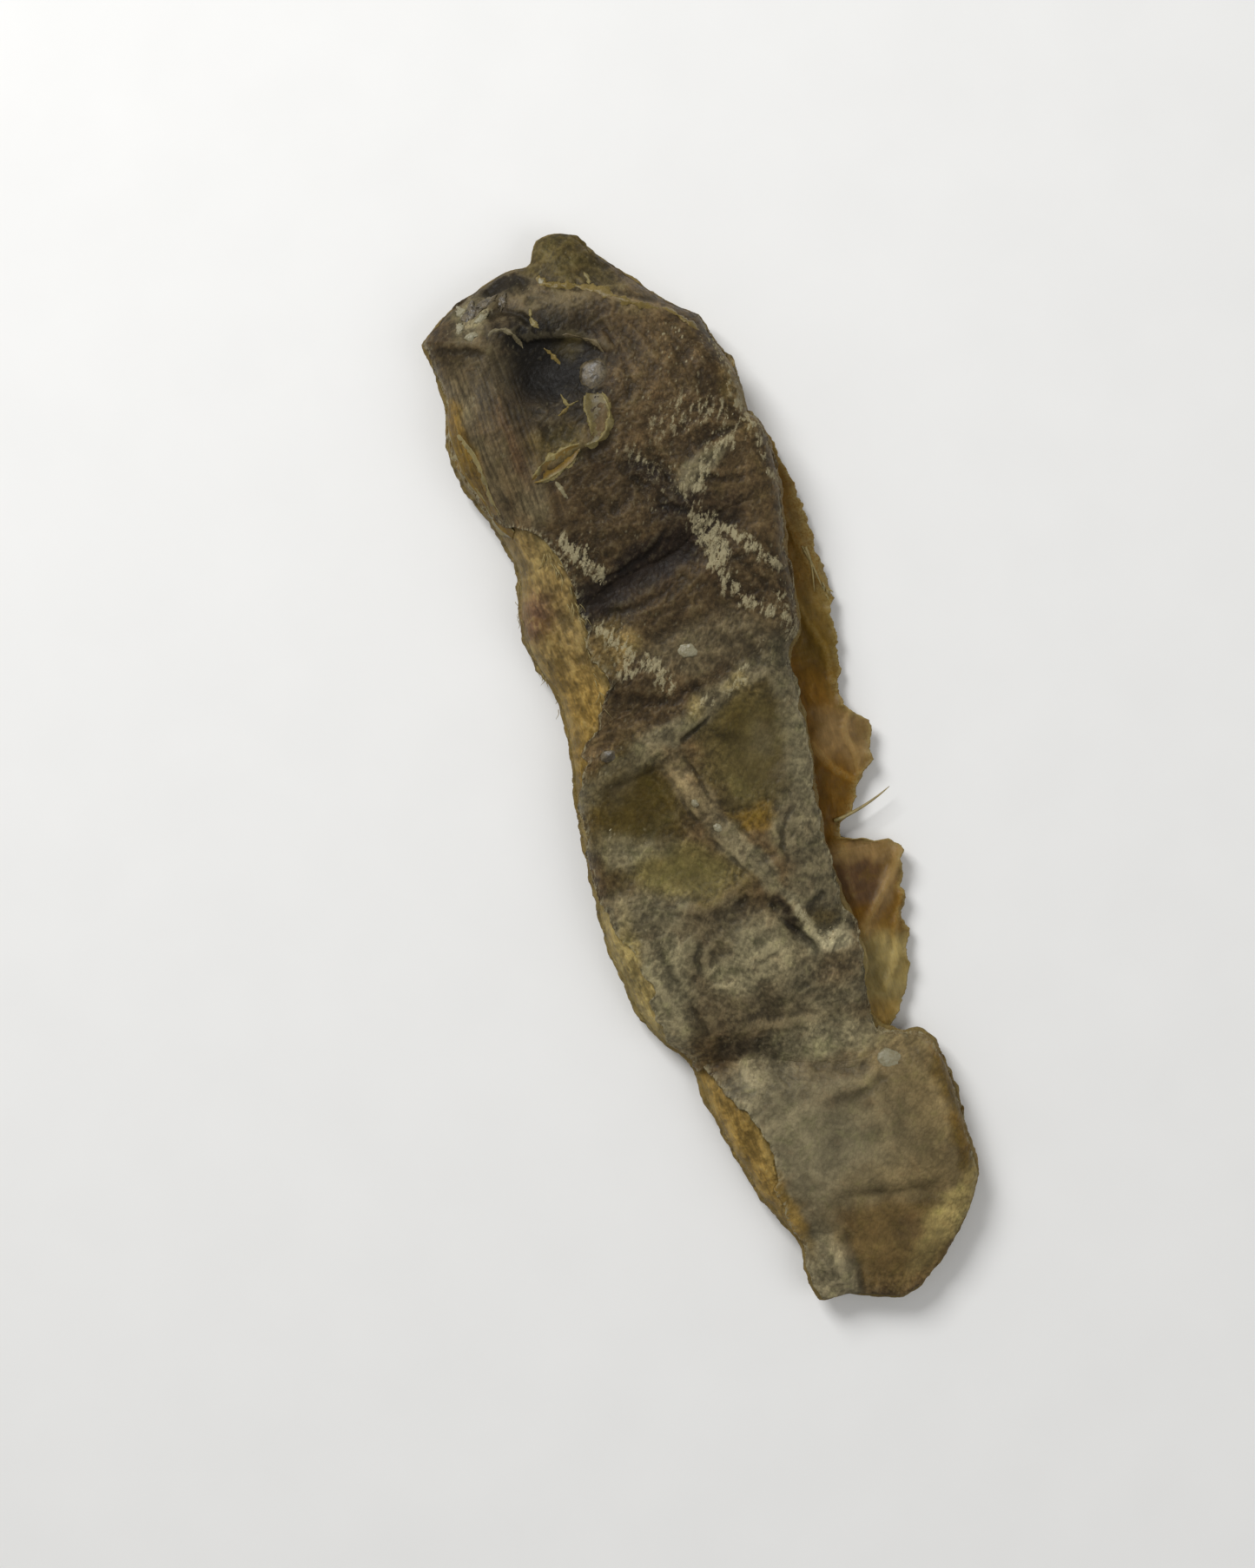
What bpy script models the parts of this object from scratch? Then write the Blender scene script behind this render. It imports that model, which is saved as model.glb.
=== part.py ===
"""A piece of stockfish: a split, air-dried slab of cod lying skin side up, as one solid.

The slab runs along Y with its thick shoulder end at +Y and its flared tail end at -Y. An outline in plan
is filled by a Coons patch and given a top skin, a ragged wall and an underside that rests on Z = 0. A thin
ledge of flesh in three lobes stands out from under its right side. The origin is the bottom centre of the
whole box. Lengths are in millimetres until MM scales them.
"""

import math

import bmesh
import bpy
import numpy as np

MM = 0.001

# Grid of the slab: cells along the length, across the width and down the wall.
CELLS_ALONG = 92
CELLS_ACROSS = 20
WALL_ROWS = 3

# Heights of the slab.
RIM_TOP = 4.6  # height of the top surface right at the outline
RIM_LIFT = 1.6  # how far the underside curls off the table at the outline
RIM_WIDTH_UNDER = 6.0  # width of the band of underside that curls up
WALL_BULGE = 0.5  # how far the wall stands proud between its two edges

# Height of the thick middle of the slab at stations along Y: (y, height).
CROWN = (
    (-99.0, 6.0),
    (-90.0, 8.2),
    (-74.0, 10.8),
    (-62.0, 11.2),
    (-51.0, 9.4),
    (-40.0, 11.6),
    (-20.0, 12.8),
    (0.0, 13.2),
    (22.0, 14.6),
    (46.0, 16.2),
    (66.0, 16.0),
    (82.0, 13.2),
    (92.0, 9.6),
    (100.0, 7.2),
)

# Width of the rounded shoulder that falls from the crown to the rim: (y, width) on the left, where the
# flesh shows beside the narrower skin, and one width all along the right.
LEFT_SHOULDER = ((-60.0, 7.0), (0.0, 8.0), (14.0, 13.0), (40.0, 13.0), (60.0, 9.0), (100.0, 7.0))
RIGHT_SHOULDER = 6.0
MIDDLE_LINE = ((-100.0, 9.0), (-50.0, -2.0))  # (y, x) of the line that parts left from right

# How the two ends warp up off the table: (start of the warp, rise at the very end).
HEAD_WARP = (58.0, 2.6)
TAIL_WARP = (-66.0, 1.8)
HALF_LENGTH = 99.6

# The outline in plan, from the shoulder end to the tail end.
LEFT_SIDE = (
    (-28.8, 86.8),
    (-27.6, 76.4),
    (-29.4, 68.2),
    (-28.8, 61.2),
    (-26.2, 53.8),
    (-23.5, 43.4),
    (-25.6, 31.2),
    (-22.5, 15.9),
    (-25.1, -4.9),
    (-25.9, -27.0),
    (-22.6, -42.3),
    (-17.5, -49.6),
    (-16.0, -60.3),
    (-11.5, -76.9),
    (-7.0, -86.2),
    (-7.8, -91.3),
    (-6.5, -96.4),
)
RIGHT_SIDE = (
    (20.7, 77.6),
    (20.0, 74.3),
    (23.2, 67.2),
    (23.0, 59.7),
    (25.0, 56.0),
    (25.2, 46.0),
    (23.0, 32.7),
    (21.9, 20.6),
    (18.6, 15.4),
    (17.9, 0.6),
    (15.7, -18.9),
    (17.1, -37.4),
    (15.5, -46.0),
    (16.2, -51.8),
    (19.6, -54.2),
    (24.6, -56.4),
    (26.4, -66.0),
    (26.3, -82.6),
)
TOP_END = (
    (-28.8, 86.8),
    (-23.5, 90.4),
    (-12.2, 94.6),
    (-6.6, 94.9),
    (-4.2, 98.8),
    (1.2, 98.4),
    (5.0, 93.8),
    (13.8, 83.4),
    (20.7, 77.6),
)
TAIL_END = (
    (-6.5, -96.4),
    (-0.6, -97.0),
    (7.8, -99.4),
    (15.2, -95.6),
    (22.6, -88.4),
    (26.3, -82.6),
)

# The torn edge wanders off the outline: (length of a wave, reach, phase) of each wave that adds up to it.
RAGGED_WAVES = ((9.1, 0.28, 0.4), (5.7, 0.22, 2.1), (3.9, 0.12, 4.0))

# The thin ledge of flesh along the right side, between two stations of Y.
LEDGE_ENDS = (58.5, -55.0)
# Each lobe: the y where it starts, where it stands out furthest, and where it ends, and its furthest x.
LEDGE_LOBES = ((58.0, 27.0, 1.0, 29.9), (9.0, -1.5, -14.0, 29.6), (-17.0, -25.0, -54.0, 28.9))
LEDGE_FULLNESS = 2.5  # the power of a lobe's arch: the higher, the squarer
LEDGE_ROOT = 8.0  # how far inside the outline its root is buried
LEDGE_BETWEEN = 1.6  # how far inside the outline its edge lies between the lobes
LEDGE_CELLS_ALONG = 66
LEDGE_CELLS_ACROSS = 4
LEDGE_MIDDLE = (2.6, 2.0)  # height of its middle at the root and at its free edge
LEDGE_THICKNESS = (2.6, 1.3)  # its thickness at the root and at its free edge
LEDGE_WAVE = 0.45  # how far its free edge waves up and down
LEDGE_WAVES = 3.5  # how many times it does so along its length

# Broad swellings and hollows of the skin: (x, y, half length, half width, turn in degrees, height).
BROAD_RELIEF = (
    (-9.0, 75.0, 10.0, 7.0, 15.0, -2.0),  # dark hollow behind the fin's root
    (-1.0, 71.8, 3.4, 3.0, 0.0, 1.1),  # knuckle at its edge
    (-18.5, 62.0, 14.0, 6.0, 94.0, 0.7),  # plate of the flattened fin
    (9.0, 66.0, 16.0, 9.0, 95.0, 0.8),  # smooth back beside it
    (0.0, 37.0, 17.0, 4.2, 15.0, -2.0),  # slanting hollow across the back
    (15.5, 31.0, 13.0, 5.0, -62.0, 1.0),  # crusted swelling beyond it
    (-2.0, 9.0, 23.0, 2.3, 18.0, 0.9),  # slanting ridge below it
    (8.0, 2.0, 9.0, 7.0, 80.0, -1.2),  # sunken panel on the right
    (-14.8, -4.5, 9.0, 7.5, 60.0, -1.3),  # sunken panel on the left
    (-9.5, -16.5, 7.0, 3.6, -20.0, -0.7),  # small panel below it
    (-2.0, -7.5, 16.0, 2.6, -66.0, 0.9),  # raised band between the panels
    (-4.0, -21.5, 12.0, 1.8, 10.0, 0.6),  # ridge that ends the band
    (-3.1, -33.0, 8.0, 5.5, 0.0, 1.3),  # round boss
    (6.5, -31.3, 5.5, 1.5, -64.0, -1.3),  # short crease beside the boss
    (-2.0, -54.0, 18.0, 2.2, -13.0, -1.9),  # crease across the waist
    (12.0, -81.5, 14.0, 1.6, -8.0, -0.9),  # crease across the tail
    (-1.0, -91.0, 6.0, 1.8, 95.0, 0.8),  # rib at the tail's tip
)

# The dried skin's finish.
SKIN_COLOUR = (0.105, 0.080, 0.045, 1.0)
SKIN_ROUGHNESS = 0.6


def smooth_curve(points, per_span=12):
    """A Catmull-Rom curve through the points: each span is a cubic whose end slopes are half the chord of the
    span's two neighbours."""
    p = np.array(points, float)
    padded = np.vstack([2 * p[0] - p[1], p, 2 * p[-1] - p[-2]])
    t = np.linspace(0.0, 1.0, per_span, endpoint=False)[:, None]
    spans = []
    for a, b, c, d in zip(padded, padded[1:], padded[2:], padded[3:]):
        spans.append(
            b
            + 0.5 * t * (c - a)
            + t**2 * (a - 2.5 * b + 2 * c - 0.5 * d)
            + t**3 * (-0.5 * a + 1.5 * b - 1.5 * c + 0.5 * d)
        )
    return np.vstack([*spans, p[-1:]])


def run_along(curve):
    """The length of a curve from its start to each of its points."""
    return np.concatenate([[0.0], np.cumsum(np.linalg.norm(np.diff(curve, axis=0), axis=1))])


def ragged(curve):
    """The curve pushed sideways by the sum of a few sines of its own length, fading to nothing at its ends."""
    run = run_along(curve)
    push = sum(reach * np.sin(2.0 * math.pi * run / length + phase) for length, reach, phase in RAGGED_WAVES)
    push *= np.sin(math.pi * run / run[-1]) ** 0.25
    along = np.gradient(curve, axis=0)
    sideways = np.column_stack([along[:, 1], -along[:, 0]]) / np.linalg.norm(along, axis=1)[:, None]
    return curve + sideways * push[:, None]


def torn_edge(points, count):
    """count + 1 points at equal steps of length along a ragged curve through the points."""
    curve = ragged(smooth_curve(points))
    run = run_along(curve)
    at = np.linspace(0.0, run[-1], count + 1)
    return np.column_stack([np.interp(at, run, curve[:, i]) for i in range(2)])


def at_station(stations, y):
    """The value at y of a table of (y, value), eased between its stations by a cosine."""
    ys, values = np.array(stations, float).T
    index = np.clip(np.searchsorted(ys, y) - 1, 0, len(ys) - 2)
    share = np.clip((y - ys[index]) / (ys[index + 1] - ys[index]), 0.0, 1.0)
    eased = 0.5 - 0.5 * np.cos(math.pi * share)
    return values[index] + (values[index + 1] - values[index]) * eased


def distance_to_line(x, y, line):
    """The shortest distance from each (x, y) to a chain of straight segments."""
    nearest = np.full(x.shape, np.inf)
    for a, b in zip(line, line[1:]):
        run = b - a
        share = ((x - a[0]) * run[0] + (y - a[1]) * run[1]) / (run @ run)
        share = np.clip(share, 0.0, 1.0)
        nearest = np.minimum(nearest, np.hypot(x - a[0] - share * run[0], y - a[1] - share * run[1]))
    return nearest


def coons_patch(left, right, top, tail):
    """Plan positions of a grid: its four sides, each already cut into cells, blended across the patch."""
    v = np.linspace(0.0, 1.0, len(left))[:, None, None]
    u = np.linspace(0.0, 1.0, len(top))[None, :, None]
    sides = (1 - u) * left[:, None] + u * right[:, None]
    ends = (1 - v) * top[None] + v * tail[None]
    corners = (1 - v) * ((1 - u) * top[0] + u * top[-1]) + v * ((1 - u) * tail[0] + u * tail[-1])
    return sides + ends - corners


def broad_relief(x, y):
    """The sum of the broad swellings and hollows, each a turned Gaussian mound."""
    height = np.zeros(x.shape)
    for cx, cy, half_length, half_width, turn, rise in BROAD_RELIEF:
        angle = math.radians(turn)
        along = (x - cx) * math.cos(angle) + (y - cy) * math.sin(angle)
        across = -(x - cx) * math.sin(angle) + (y - cy) * math.cos(angle)
        height += rise * np.exp(-((along / half_length) ** 2) - (across / half_width) ** 2)
    return height


def warp(y):
    """How far the slab rises off the table at its two ends."""
    head = np.clip((y - HEAD_WARP[0]) / (HALF_LENGTH - HEAD_WARP[0]), 0.0, 1.0)
    tail = np.clip((TAIL_WARP[0] - y) / (HALF_LENGTH + TAIL_WARP[0]), 0.0, 1.0)
    return HEAD_WARP[1] * head**2 + TAIL_WARP[1] * tail**2


def top_height(x, y, rim_distance):
    """Height of the skin side: the crown falls to the rim along a quarter of an ellipse, and carries the
    broad relief."""
    width = np.where(x < at_station(MIDDLE_LINE, y), at_station(LEFT_SHOULDER, y), RIGHT_SHOULDER)
    inward = np.clip(rim_distance / width, 0.0, 1.0)
    shoulder = np.sqrt(1.0 - (1.0 - inward) ** 2)
    crown = at_station(CROWN, y) + broad_relief(x, y)
    return RIM_TOP + (crown - RIM_TOP) * shoulder + 0.5 * warp(y)


def under_height(y, rim_distance):
    """Height of the underside: flat on the table, curling up towards the rim and warping up at the ends."""
    curl = 1.0 - np.clip(rim_distance / RIM_WIDTH_UNDER, 0.0, 1.0)
    return RIM_LIFT * curl**2 + warp(y)


def border(grid):
    """The border of a grid, of vertices or of positions, as one loop."""
    return np.concatenate([grid[0, :-1], grid[:-1, -1], grid[-1, :0:-1], grid[:0:-1, 0]])


def outward_of(rim):
    """The outward direction in plan at each point of a closed rim that runs clockwise seen from above."""
    along = np.roll(rim, -1, axis=0) - np.roll(rim, 1, axis=0)
    sideways = np.column_stack([-along[:, 1], along[:, 0]])
    return sideways / np.linalg.norm(sideways, axis=1)[:, None]


def closed_plate(name, plan, top, under, wall_rows, bulge):
    """A closed mesh object: a top grid, an underside grid, and a wall of a few rows that joins their borders
    and bulges out between them."""
    mesh = bmesh.new()
    grids = []
    for heights in (top, under):
        places = np.dstack([plan, heights]).reshape(-1, 3) * MM
        verts = np.array([mesh.verts.new(place) for place in places], dtype=object)
        grids.append(verts.reshape(heights.shape))
    for grid in grids:
        for row, following in zip(grid, grid[1:]):
            for a, b, c, d in zip(row, row[1:], following[1:], following):
                mesh.faces.new((a, b, c, d))

    upper, lower = border(grids[0]), border(grids[1])
    outward = outward_of(border(plan))
    rings = [upper]
    for row in range(1, wall_rows):
        share = row / wall_rows
        proud = bulge * math.sin(math.pi * share) * MM
        ring = []
        for high, low, (out_x, out_y) in zip(upper, lower, outward):
            x, y, z = high.co.lerp(low.co, share)
            ring.append(mesh.verts.new((x + out_x * proud, y + out_y * proud, z)))
        rings.append(ring)
    rings.append(lower)
    for ring, following in zip(rings, rings[1:]):
        for i, vert in enumerate(ring):
            j = (i + 1) % len(ring)
            mesh.faces.new((vert, ring[j], following[j], following[i]))
    bmesh.ops.triangulate(mesh, faces=mesh.faces[:])
    bmesh.ops.recalc_face_normals(mesh, faces=mesh.faces[:])

    data = bpy.data.meshes.new(name)
    mesh.to_mesh(data)
    mesh.free()
    data.shade_smooth()
    plate = bpy.data.objects.new(name, data)
    bpy.context.scene.collection.objects.link(plate)
    return plate


def build_slab():
    """The thick slab under its skin, without the ledge."""
    plan = coons_patch(
        torn_edge(LEFT_SIDE, CELLS_ALONG),
        torn_edge(RIGHT_SIDE, CELLS_ALONG),
        torn_edge(TOP_END, CELLS_ACROSS),
        torn_edge(TAIL_END, CELLS_ACROSS),
    )
    x, y = plan[..., 0], plan[..., 1]
    rim = border(plan)
    rim_distance = distance_to_line(x, y, np.vstack([rim, rim[:1]]))
    top, under = top_height(x, y, rim_distance), under_height(y, rim_distance)
    return closed_plate("stockfish_piece", plan, top, under, WALL_ROWS, WALL_BULGE)


def ledge_edge(y, inner):
    """The x of the ledge's free edge at each y: the inner line's x, and on every lobe at least the way from
    there to the lobe's own furthest x times an arch 1 - t^n, with t from 0 at its peak to 1 at its ends."""
    edge = inner.copy()
    for start, peak, end, furthest in LEDGE_LOBES:
        away = np.where(y > peak, (y - peak) / (start - peak), (peak - y) / (peak - end))
        arch = 1.0 - np.clip(away, 0.0, 1.0) ** LEDGE_FULLNESS
        edge = np.maximum(edge, inner + (furthest - inner) * arch)
    return edge


def build_ledge():
    """The thin flap along the right side: it thins from its buried root to its lobed free edge, and waves."""
    side = smooth_curve(RIGHT_SIDE)[::-1]
    y = np.linspace(*LEDGE_ENDS, LEDGE_CELLS_ALONG + 1)
    outline = np.interp(y, side[:, 1], side[:, 0])
    out = np.linspace(0.0, 1.0, LEDGE_CELLS_ACROSS + 1)
    root = outline - LEDGE_ROOT
    free = ledge_edge(y, outline - LEDGE_BETWEEN)
    x = root[:, None] + (free - root)[:, None] * out
    plan = np.dstack([x, np.broadcast_to(y[:, None], x.shape)])
    along = np.linspace(0.0, 1.0, LEDGE_CELLS_ALONG + 1)[:, None]
    wave = LEDGE_WAVE * out * np.sin(2.0 * math.pi * LEDGE_WAVES * along)
    middle = LEDGE_MIDDLE[0] + (LEDGE_MIDDLE[1] - LEDGE_MIDDLE[0]) * out + wave
    half = 0.5 * (LEDGE_THICKNESS[0] + (LEDGE_THICKNESS[1] - LEDGE_THICKNESS[0]) * out)
    ledge = closed_plate("ledge_to_join", plan, middle + half, middle - half, 1, 0.0)
    ledge.hide_render = True
    ledge.display_type = "WIRE"
    return ledge


def dried_skin_material():
    """Grey-brown dried skin, with a dull leathery gloss."""
    material = bpy.data.materials.new("dried_skin")
    material.use_nodes = True
    shader = material.node_tree.nodes["Principled BSDF"]
    shader.inputs["Base Color"].default_value = SKIN_COLOUR
    shader.inputs["Roughness"].default_value = SKIN_ROUGHNESS
    shader.inputs["Metallic"].default_value = 0.0
    return material


def main():
    """Clears the scene, then joins the ledge to the slab as one solid."""
    for old in list(bpy.data.objects):
        bpy.data.objects.remove(old)
    piece = build_slab()
    piece.data.materials.append(dried_skin_material())
    join = piece.modifiers.new("join_ledge", "BOOLEAN")
    join.operation = "UNION"
    join.solver = "EXACT"
    join.object = build_ledge()


main()
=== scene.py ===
"""A piece of stockfish as it looks: dried skin in three folded sheets over a fibrous slab of flesh, with a
thin amber ledge, curled yellow rims, gristle, crusted scales and frayed fibres.

Lengths are in millimetres, in the frame's own axes, until MM scales them into a mesh.
"""

import logging
import math
from dataclasses import dataclass, field
from enum import Enum
from itertools import product

import bpy
import numpy as np
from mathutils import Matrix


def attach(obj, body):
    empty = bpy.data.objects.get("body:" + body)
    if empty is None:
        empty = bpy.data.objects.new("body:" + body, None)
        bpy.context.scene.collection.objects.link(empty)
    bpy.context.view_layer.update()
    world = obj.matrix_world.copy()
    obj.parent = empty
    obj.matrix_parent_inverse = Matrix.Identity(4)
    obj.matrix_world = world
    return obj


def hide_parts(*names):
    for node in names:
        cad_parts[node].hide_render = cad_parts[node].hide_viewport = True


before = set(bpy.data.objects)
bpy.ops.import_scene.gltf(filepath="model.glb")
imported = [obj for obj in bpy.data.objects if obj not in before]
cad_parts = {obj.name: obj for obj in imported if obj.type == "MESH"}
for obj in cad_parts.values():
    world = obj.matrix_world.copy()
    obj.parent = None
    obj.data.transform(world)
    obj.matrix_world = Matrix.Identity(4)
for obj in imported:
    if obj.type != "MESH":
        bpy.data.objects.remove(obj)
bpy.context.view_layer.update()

Array = np.ndarray
Points = tuple[tuple[float, float], ...]
Patch = tuple[float, ...]  # x, y, half length, half width, turn in degrees, strength or height
Socket = bpy.types.NodeSocket
Material = bpy.types.Material
Piece = bpy.types.Object
MM = 0.001
GLOSS_VEIL = 0.012  # linear light that the studio's reflection adds to every colour
NODE = "stockfish_piece"
LOG = logging.getLogger("stockfish")


# ---- curves


def smoothstep(low: float, high: float, value: Array) -> Array:
    """Values eased from 0 at low to 1 at high by 3t^2 - 2t^3."""
    t = np.clip((value - low) / (high - low), 0.0, 1.0)
    return t * t * (3.0 - 2.0 * t)


def smooth_curve(points: Points | Array, per_span: int = 8) -> Array:
    """A Catmull-Rom curve: each span is a cubic whose end slopes are half its neighbours' chord.

    Args:
        points: what the curve goes through.
        per_span: how many steps each span is cut into.

    Returns:
        The curve's points, one row each.
    """
    p = np.array(points, float)
    p = np.vstack([2 * p[0] - p[1], p, 2 * p[-1] - p[-2]])
    a, b, c, d = (p[i : len(p) - 3 + i, None, :] for i in range(4))
    t = np.linspace(0.0, 1.0, per_span, endpoint=False)[None, :, None]
    cubic = (
        b
        + 0.5 * t * (c - a)
        + t**2 * (a - 2.5 * b + 2.0 * c - 0.5 * d)
        + t**3 * (-0.5 * a + 1.5 * b - 1.5 * c + 0.5 * d)
    )
    return np.vstack([cubic.reshape(-1, p.shape[1]), p[-2:-1]])


def run_along(curve: Array) -> Array:
    """The length of a curve from its start to each of its points."""
    return np.concatenate([[0.0], np.cumsum(np.linalg.norm(np.diff(curve, axis=0), axis=1))])


def resample(curve: Array, count: int) -> Array:
    """count + 1 points at equal steps of length along a curve.

    Args:
        curve: the curve's points.
        count: how many steps.

    Returns:
        The evenly spaced points.
    """
    run = run_along(curve)
    at = np.linspace(0.0, run[-1], count + 1)
    return np.column_stack([np.interp(at, run, curve[:, i]) for i in range(curve.shape[1])])


def normals_of(curve: Array) -> Array:
    """The unit direction to the left of travel at each point of a plan curve."""
    along = np.gradient(curve, axis=0)
    left = np.column_stack([-along[:, 1], along[:, 0]])
    return left / np.maximum(np.linalg.norm(left, axis=1), 1e-9)[:, None]


@dataclass(frozen=True)
class Nearest:
    """Where a set of points lies against a line: distance, signed side (left of travel is positive) and the
    share of the line's length at the nearest point."""

    distance: Array
    side: Array
    share: Array


def nearest_on(x: Array, y: Array, line: Array, reach: float) -> Nearest:
    """Drops each point onto every segment of a chain; the closest foot counts.

    Args:
        x, y: the points.
        line: the chain's points.
        reach: the greatest distance that is told.

    Returns:
        Where the points lie, shaped as x.
    """
    shape = x.shape
    px, py = x.ravel(), y.ravel()
    distance, side, share = np.full(px.size, reach), np.full(px.size, reach), np.zeros(px.size)
    low, high = line.min(axis=0) - reach, line.max(axis=0) + reach
    near = np.flatnonzero((px > low[0]) & (px < high[0]) & (py > low[1]) & (py < high[1]))
    run = np.diff(line, axis=0)
    length = np.maximum(np.linalg.norm(run, axis=1), 1e-9)
    before = np.concatenate([[0.0], np.cumsum(length)])
    for part in np.array_split(near, max(1, near.size * len(run) // 3_000_000)):
        dx = px[part, None] - line[None, :-1, 0]
        dy = py[part, None] - line[None, :-1, 1]
        t = np.clip((dx * run[:, 0] + dy * run[:, 1]) / length**2, 0.0, 1.0)
        far = np.hypot(dx - t * run[:, 0], dy - t * run[:, 1])
        best = far.argmin(axis=1)
        row = np.arange(part.size)
        cross = run[best, 0] * dy[row, best] - run[best, 1] * dx[row, best]
        distance[part] = np.minimum(far[row, best], reach)
        side[part] = distance[part] * np.sign(cross)
        share[part] = (before[best] + t[row, best] * length[best]) / before[-1]
    return Nearest(distance.reshape(shape), side.reshape(shape), share.reshape(shape))


def coons_patch(left: Array, right: Array, top: Array, bottom: Array) -> Array:
    """A grid in plan from its four sides: the sides' blend across, plus the ends' blend along, less the
    corners' bilinear blend.

    Args:
        left, right: the sides, from top to bottom.
        top, bottom: the ends, from left to right.

    Returns:
        The grid, rows from top to bottom and columns from left to right.
    """
    v = np.linspace(0.0, 1.0, len(left))[:, None, None]
    u = np.linspace(0.0, 1.0, len(top))[None, :, None]
    sides = (1 - u) * left[:, None] + u * right[:, None]
    ends = (1 - v) * top[None] + v * bottom[None]
    corners = (1 - v) * ((1 - u) * top[0] + u * top[-1]) + v * ((1 - u) * bottom[0] + u * bottom[-1])
    return sides + ends - corners


def drawn_between(one: Array, other: Array, columns: int) -> Array:
    """A grid whose rows run straight from one line's points to another's."""
    share = np.linspace(0.0, 1.0, columns + 1)[None, :, None]
    return one[:, None] * (1.0 - share) + other[:, None] * share


def at_station(stations: Points, y: Array) -> Array:
    """The value at y of a table of (y, value), eased between its stations by a cosine."""
    ys, values = np.array(stations, float).T
    index = np.clip(np.searchsorted(ys, y) - 1, 0, len(ys) - 2)
    share = np.clip((y - ys[index]) / (ys[index + 1] - ys[index]), 0.0, 1.0)
    return values[index] + (values[index + 1] - values[index]) * (0.5 - 0.5 * np.cos(math.pi * share))


# ---- noise


def hashed(ix: Array, iy: Array, seed: int) -> Array:
    """A repeatable value from 0 to 1 for each whole lattice point: its numbers and the seed are mixed by
    multiplying and shifting bits."""
    mixed = ix.astype(np.uint32) * np.uint32(374761393) + iy.astype(np.uint32) * np.uint32(668265263)
    mixed = mixed + np.uint32((seed * 2246822519 + 3266489917) % 2**32)
    mixed = (mixed ^ (mixed >> np.uint32(13))) * np.uint32(1274126177)
    mixed = (mixed ^ (mixed >> np.uint32(15))) * np.uint32(2246822519)
    return (mixed ^ (mixed >> np.uint32(16))).astype(float) / 2.0**32


def wave_noise(x: Array, y: Array, seed: int) -> Array:
    """Smooth noise from about -1 to 1: a random slope at each lattice corner, and the four corners' planes
    blended by 6t^5 - 15t^4 + 10t^3.

    Args:
        x, y: positions in the noise's wavelengths.
        seed: which noise.

    Returns:
        The noise, shaped as x.
    """
    ix, iy = np.floor(x).astype(np.int64), np.floor(y).astype(np.int64)
    fx, fy = x - ix, y - iy
    sx, sy = (t**3 * (t * (6.0 * t - 15.0) + 10.0) for t in (fx, fy))
    planes = []
    for dx, dy in ((0, 0), (1, 0), (0, 1), (1, 1)):
        angle = 2.0 * math.pi * hashed(ix + dx, iy + dy, seed)
        planes.append(np.cos(angle) * (fx - dx) + np.sin(angle) * (fy - dy))
    low = planes[0] + sx * (planes[1] - planes[0])
    high = planes[2] + sx * (planes[3] - planes[2])
    return 1.5 * (low + sy * (high - low))


def fractal(x: Array, y: Array, seed: int, octaves: int = 4, gain: float = 0.5) -> Array:
    """Noise of several sizes: each octave has half the wavelength and gain times the reach of the last."""
    total = np.zeros(np.broadcast(x, y).shape)
    for octave in range(octaves):
        total += gain**octave * wave_noise(x * 2**octave, y * 2**octave, seed + 17 * octave)
    return total


def ridged(x: Array, y: Array, seed: int, octaves: int = 3) -> Array:
    """Sharp-crested noise from 0 to about 1: one less the square root of the size of plain noise, summed
    over octaves."""
    total, scale = np.zeros(np.broadcast(x, y).shape), 0.0
    for octave in range(octaves):
        reach = 0.5**octave
        crest = 1.0 - np.sqrt(np.abs(wave_noise(x * 2**octave, y * 2**octave, seed + 23 * octave)))
        total += reach * np.clip(crest, 0.0, 1.0)
        scale += reach
    return total / scale


def cells(x: Array, y: Array, seed: int) -> tuple[Array, Array]:
    """Cuts the plane into cells: one seed wanders in each lattice square, and a point belongs to the seed
    that is closest.

    Args:
        x, y: positions in units of a cell's width.
        seed: which net.

    Returns:
        How much further the next seed is than the closest, and a value from 0 to 1 that is the cell's own.
    """
    ix, iy = np.floor(x).astype(np.int64), np.floor(y).astype(np.int64)
    first, second, own = np.full(x.shape, 9.0), np.full(x.shape, 9.0), np.zeros(x.shape)
    for dx, dy in product((-1, 0, 1), repeat=2):
        cx, cy = ix + dx, iy + dy
        sx = cx + 0.1 + 0.8 * hashed(cx, cy, seed)
        sy = cy + 0.1 + 0.8 * hashed(cx, cy, seed + 1)
        away = np.hypot(x - sx, y - sy)
        closer = away < first
        second = np.where(closer, first, np.minimum(second, away))
        own = np.where(closer, hashed(cx, cy, seed + 2), own)
        first = np.minimum(first, away)
    return second - first, own


def blurred(grid: Array, radius: int) -> Array:
    """A grid averaged twice over a square of the given radius in cells, with its edges carried outwards."""
    width = 2 * radius + 1
    for _ in range(2):
        for axis in (0, 1):
            pad = [(0, 0), (0, 0)]
            pad[axis] = (radius + 1, radius)
            total = np.cumsum(np.pad(grid, pad, mode="edge"), axis=axis)
            ahead = np.take(total, np.arange(width, total.shape[axis]), axis=axis)
            behind = np.take(total, np.arange(0, total.shape[axis] - width), axis=axis)
            grid = (ahead - behind) / width
    return grid


# ---- the form

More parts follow.
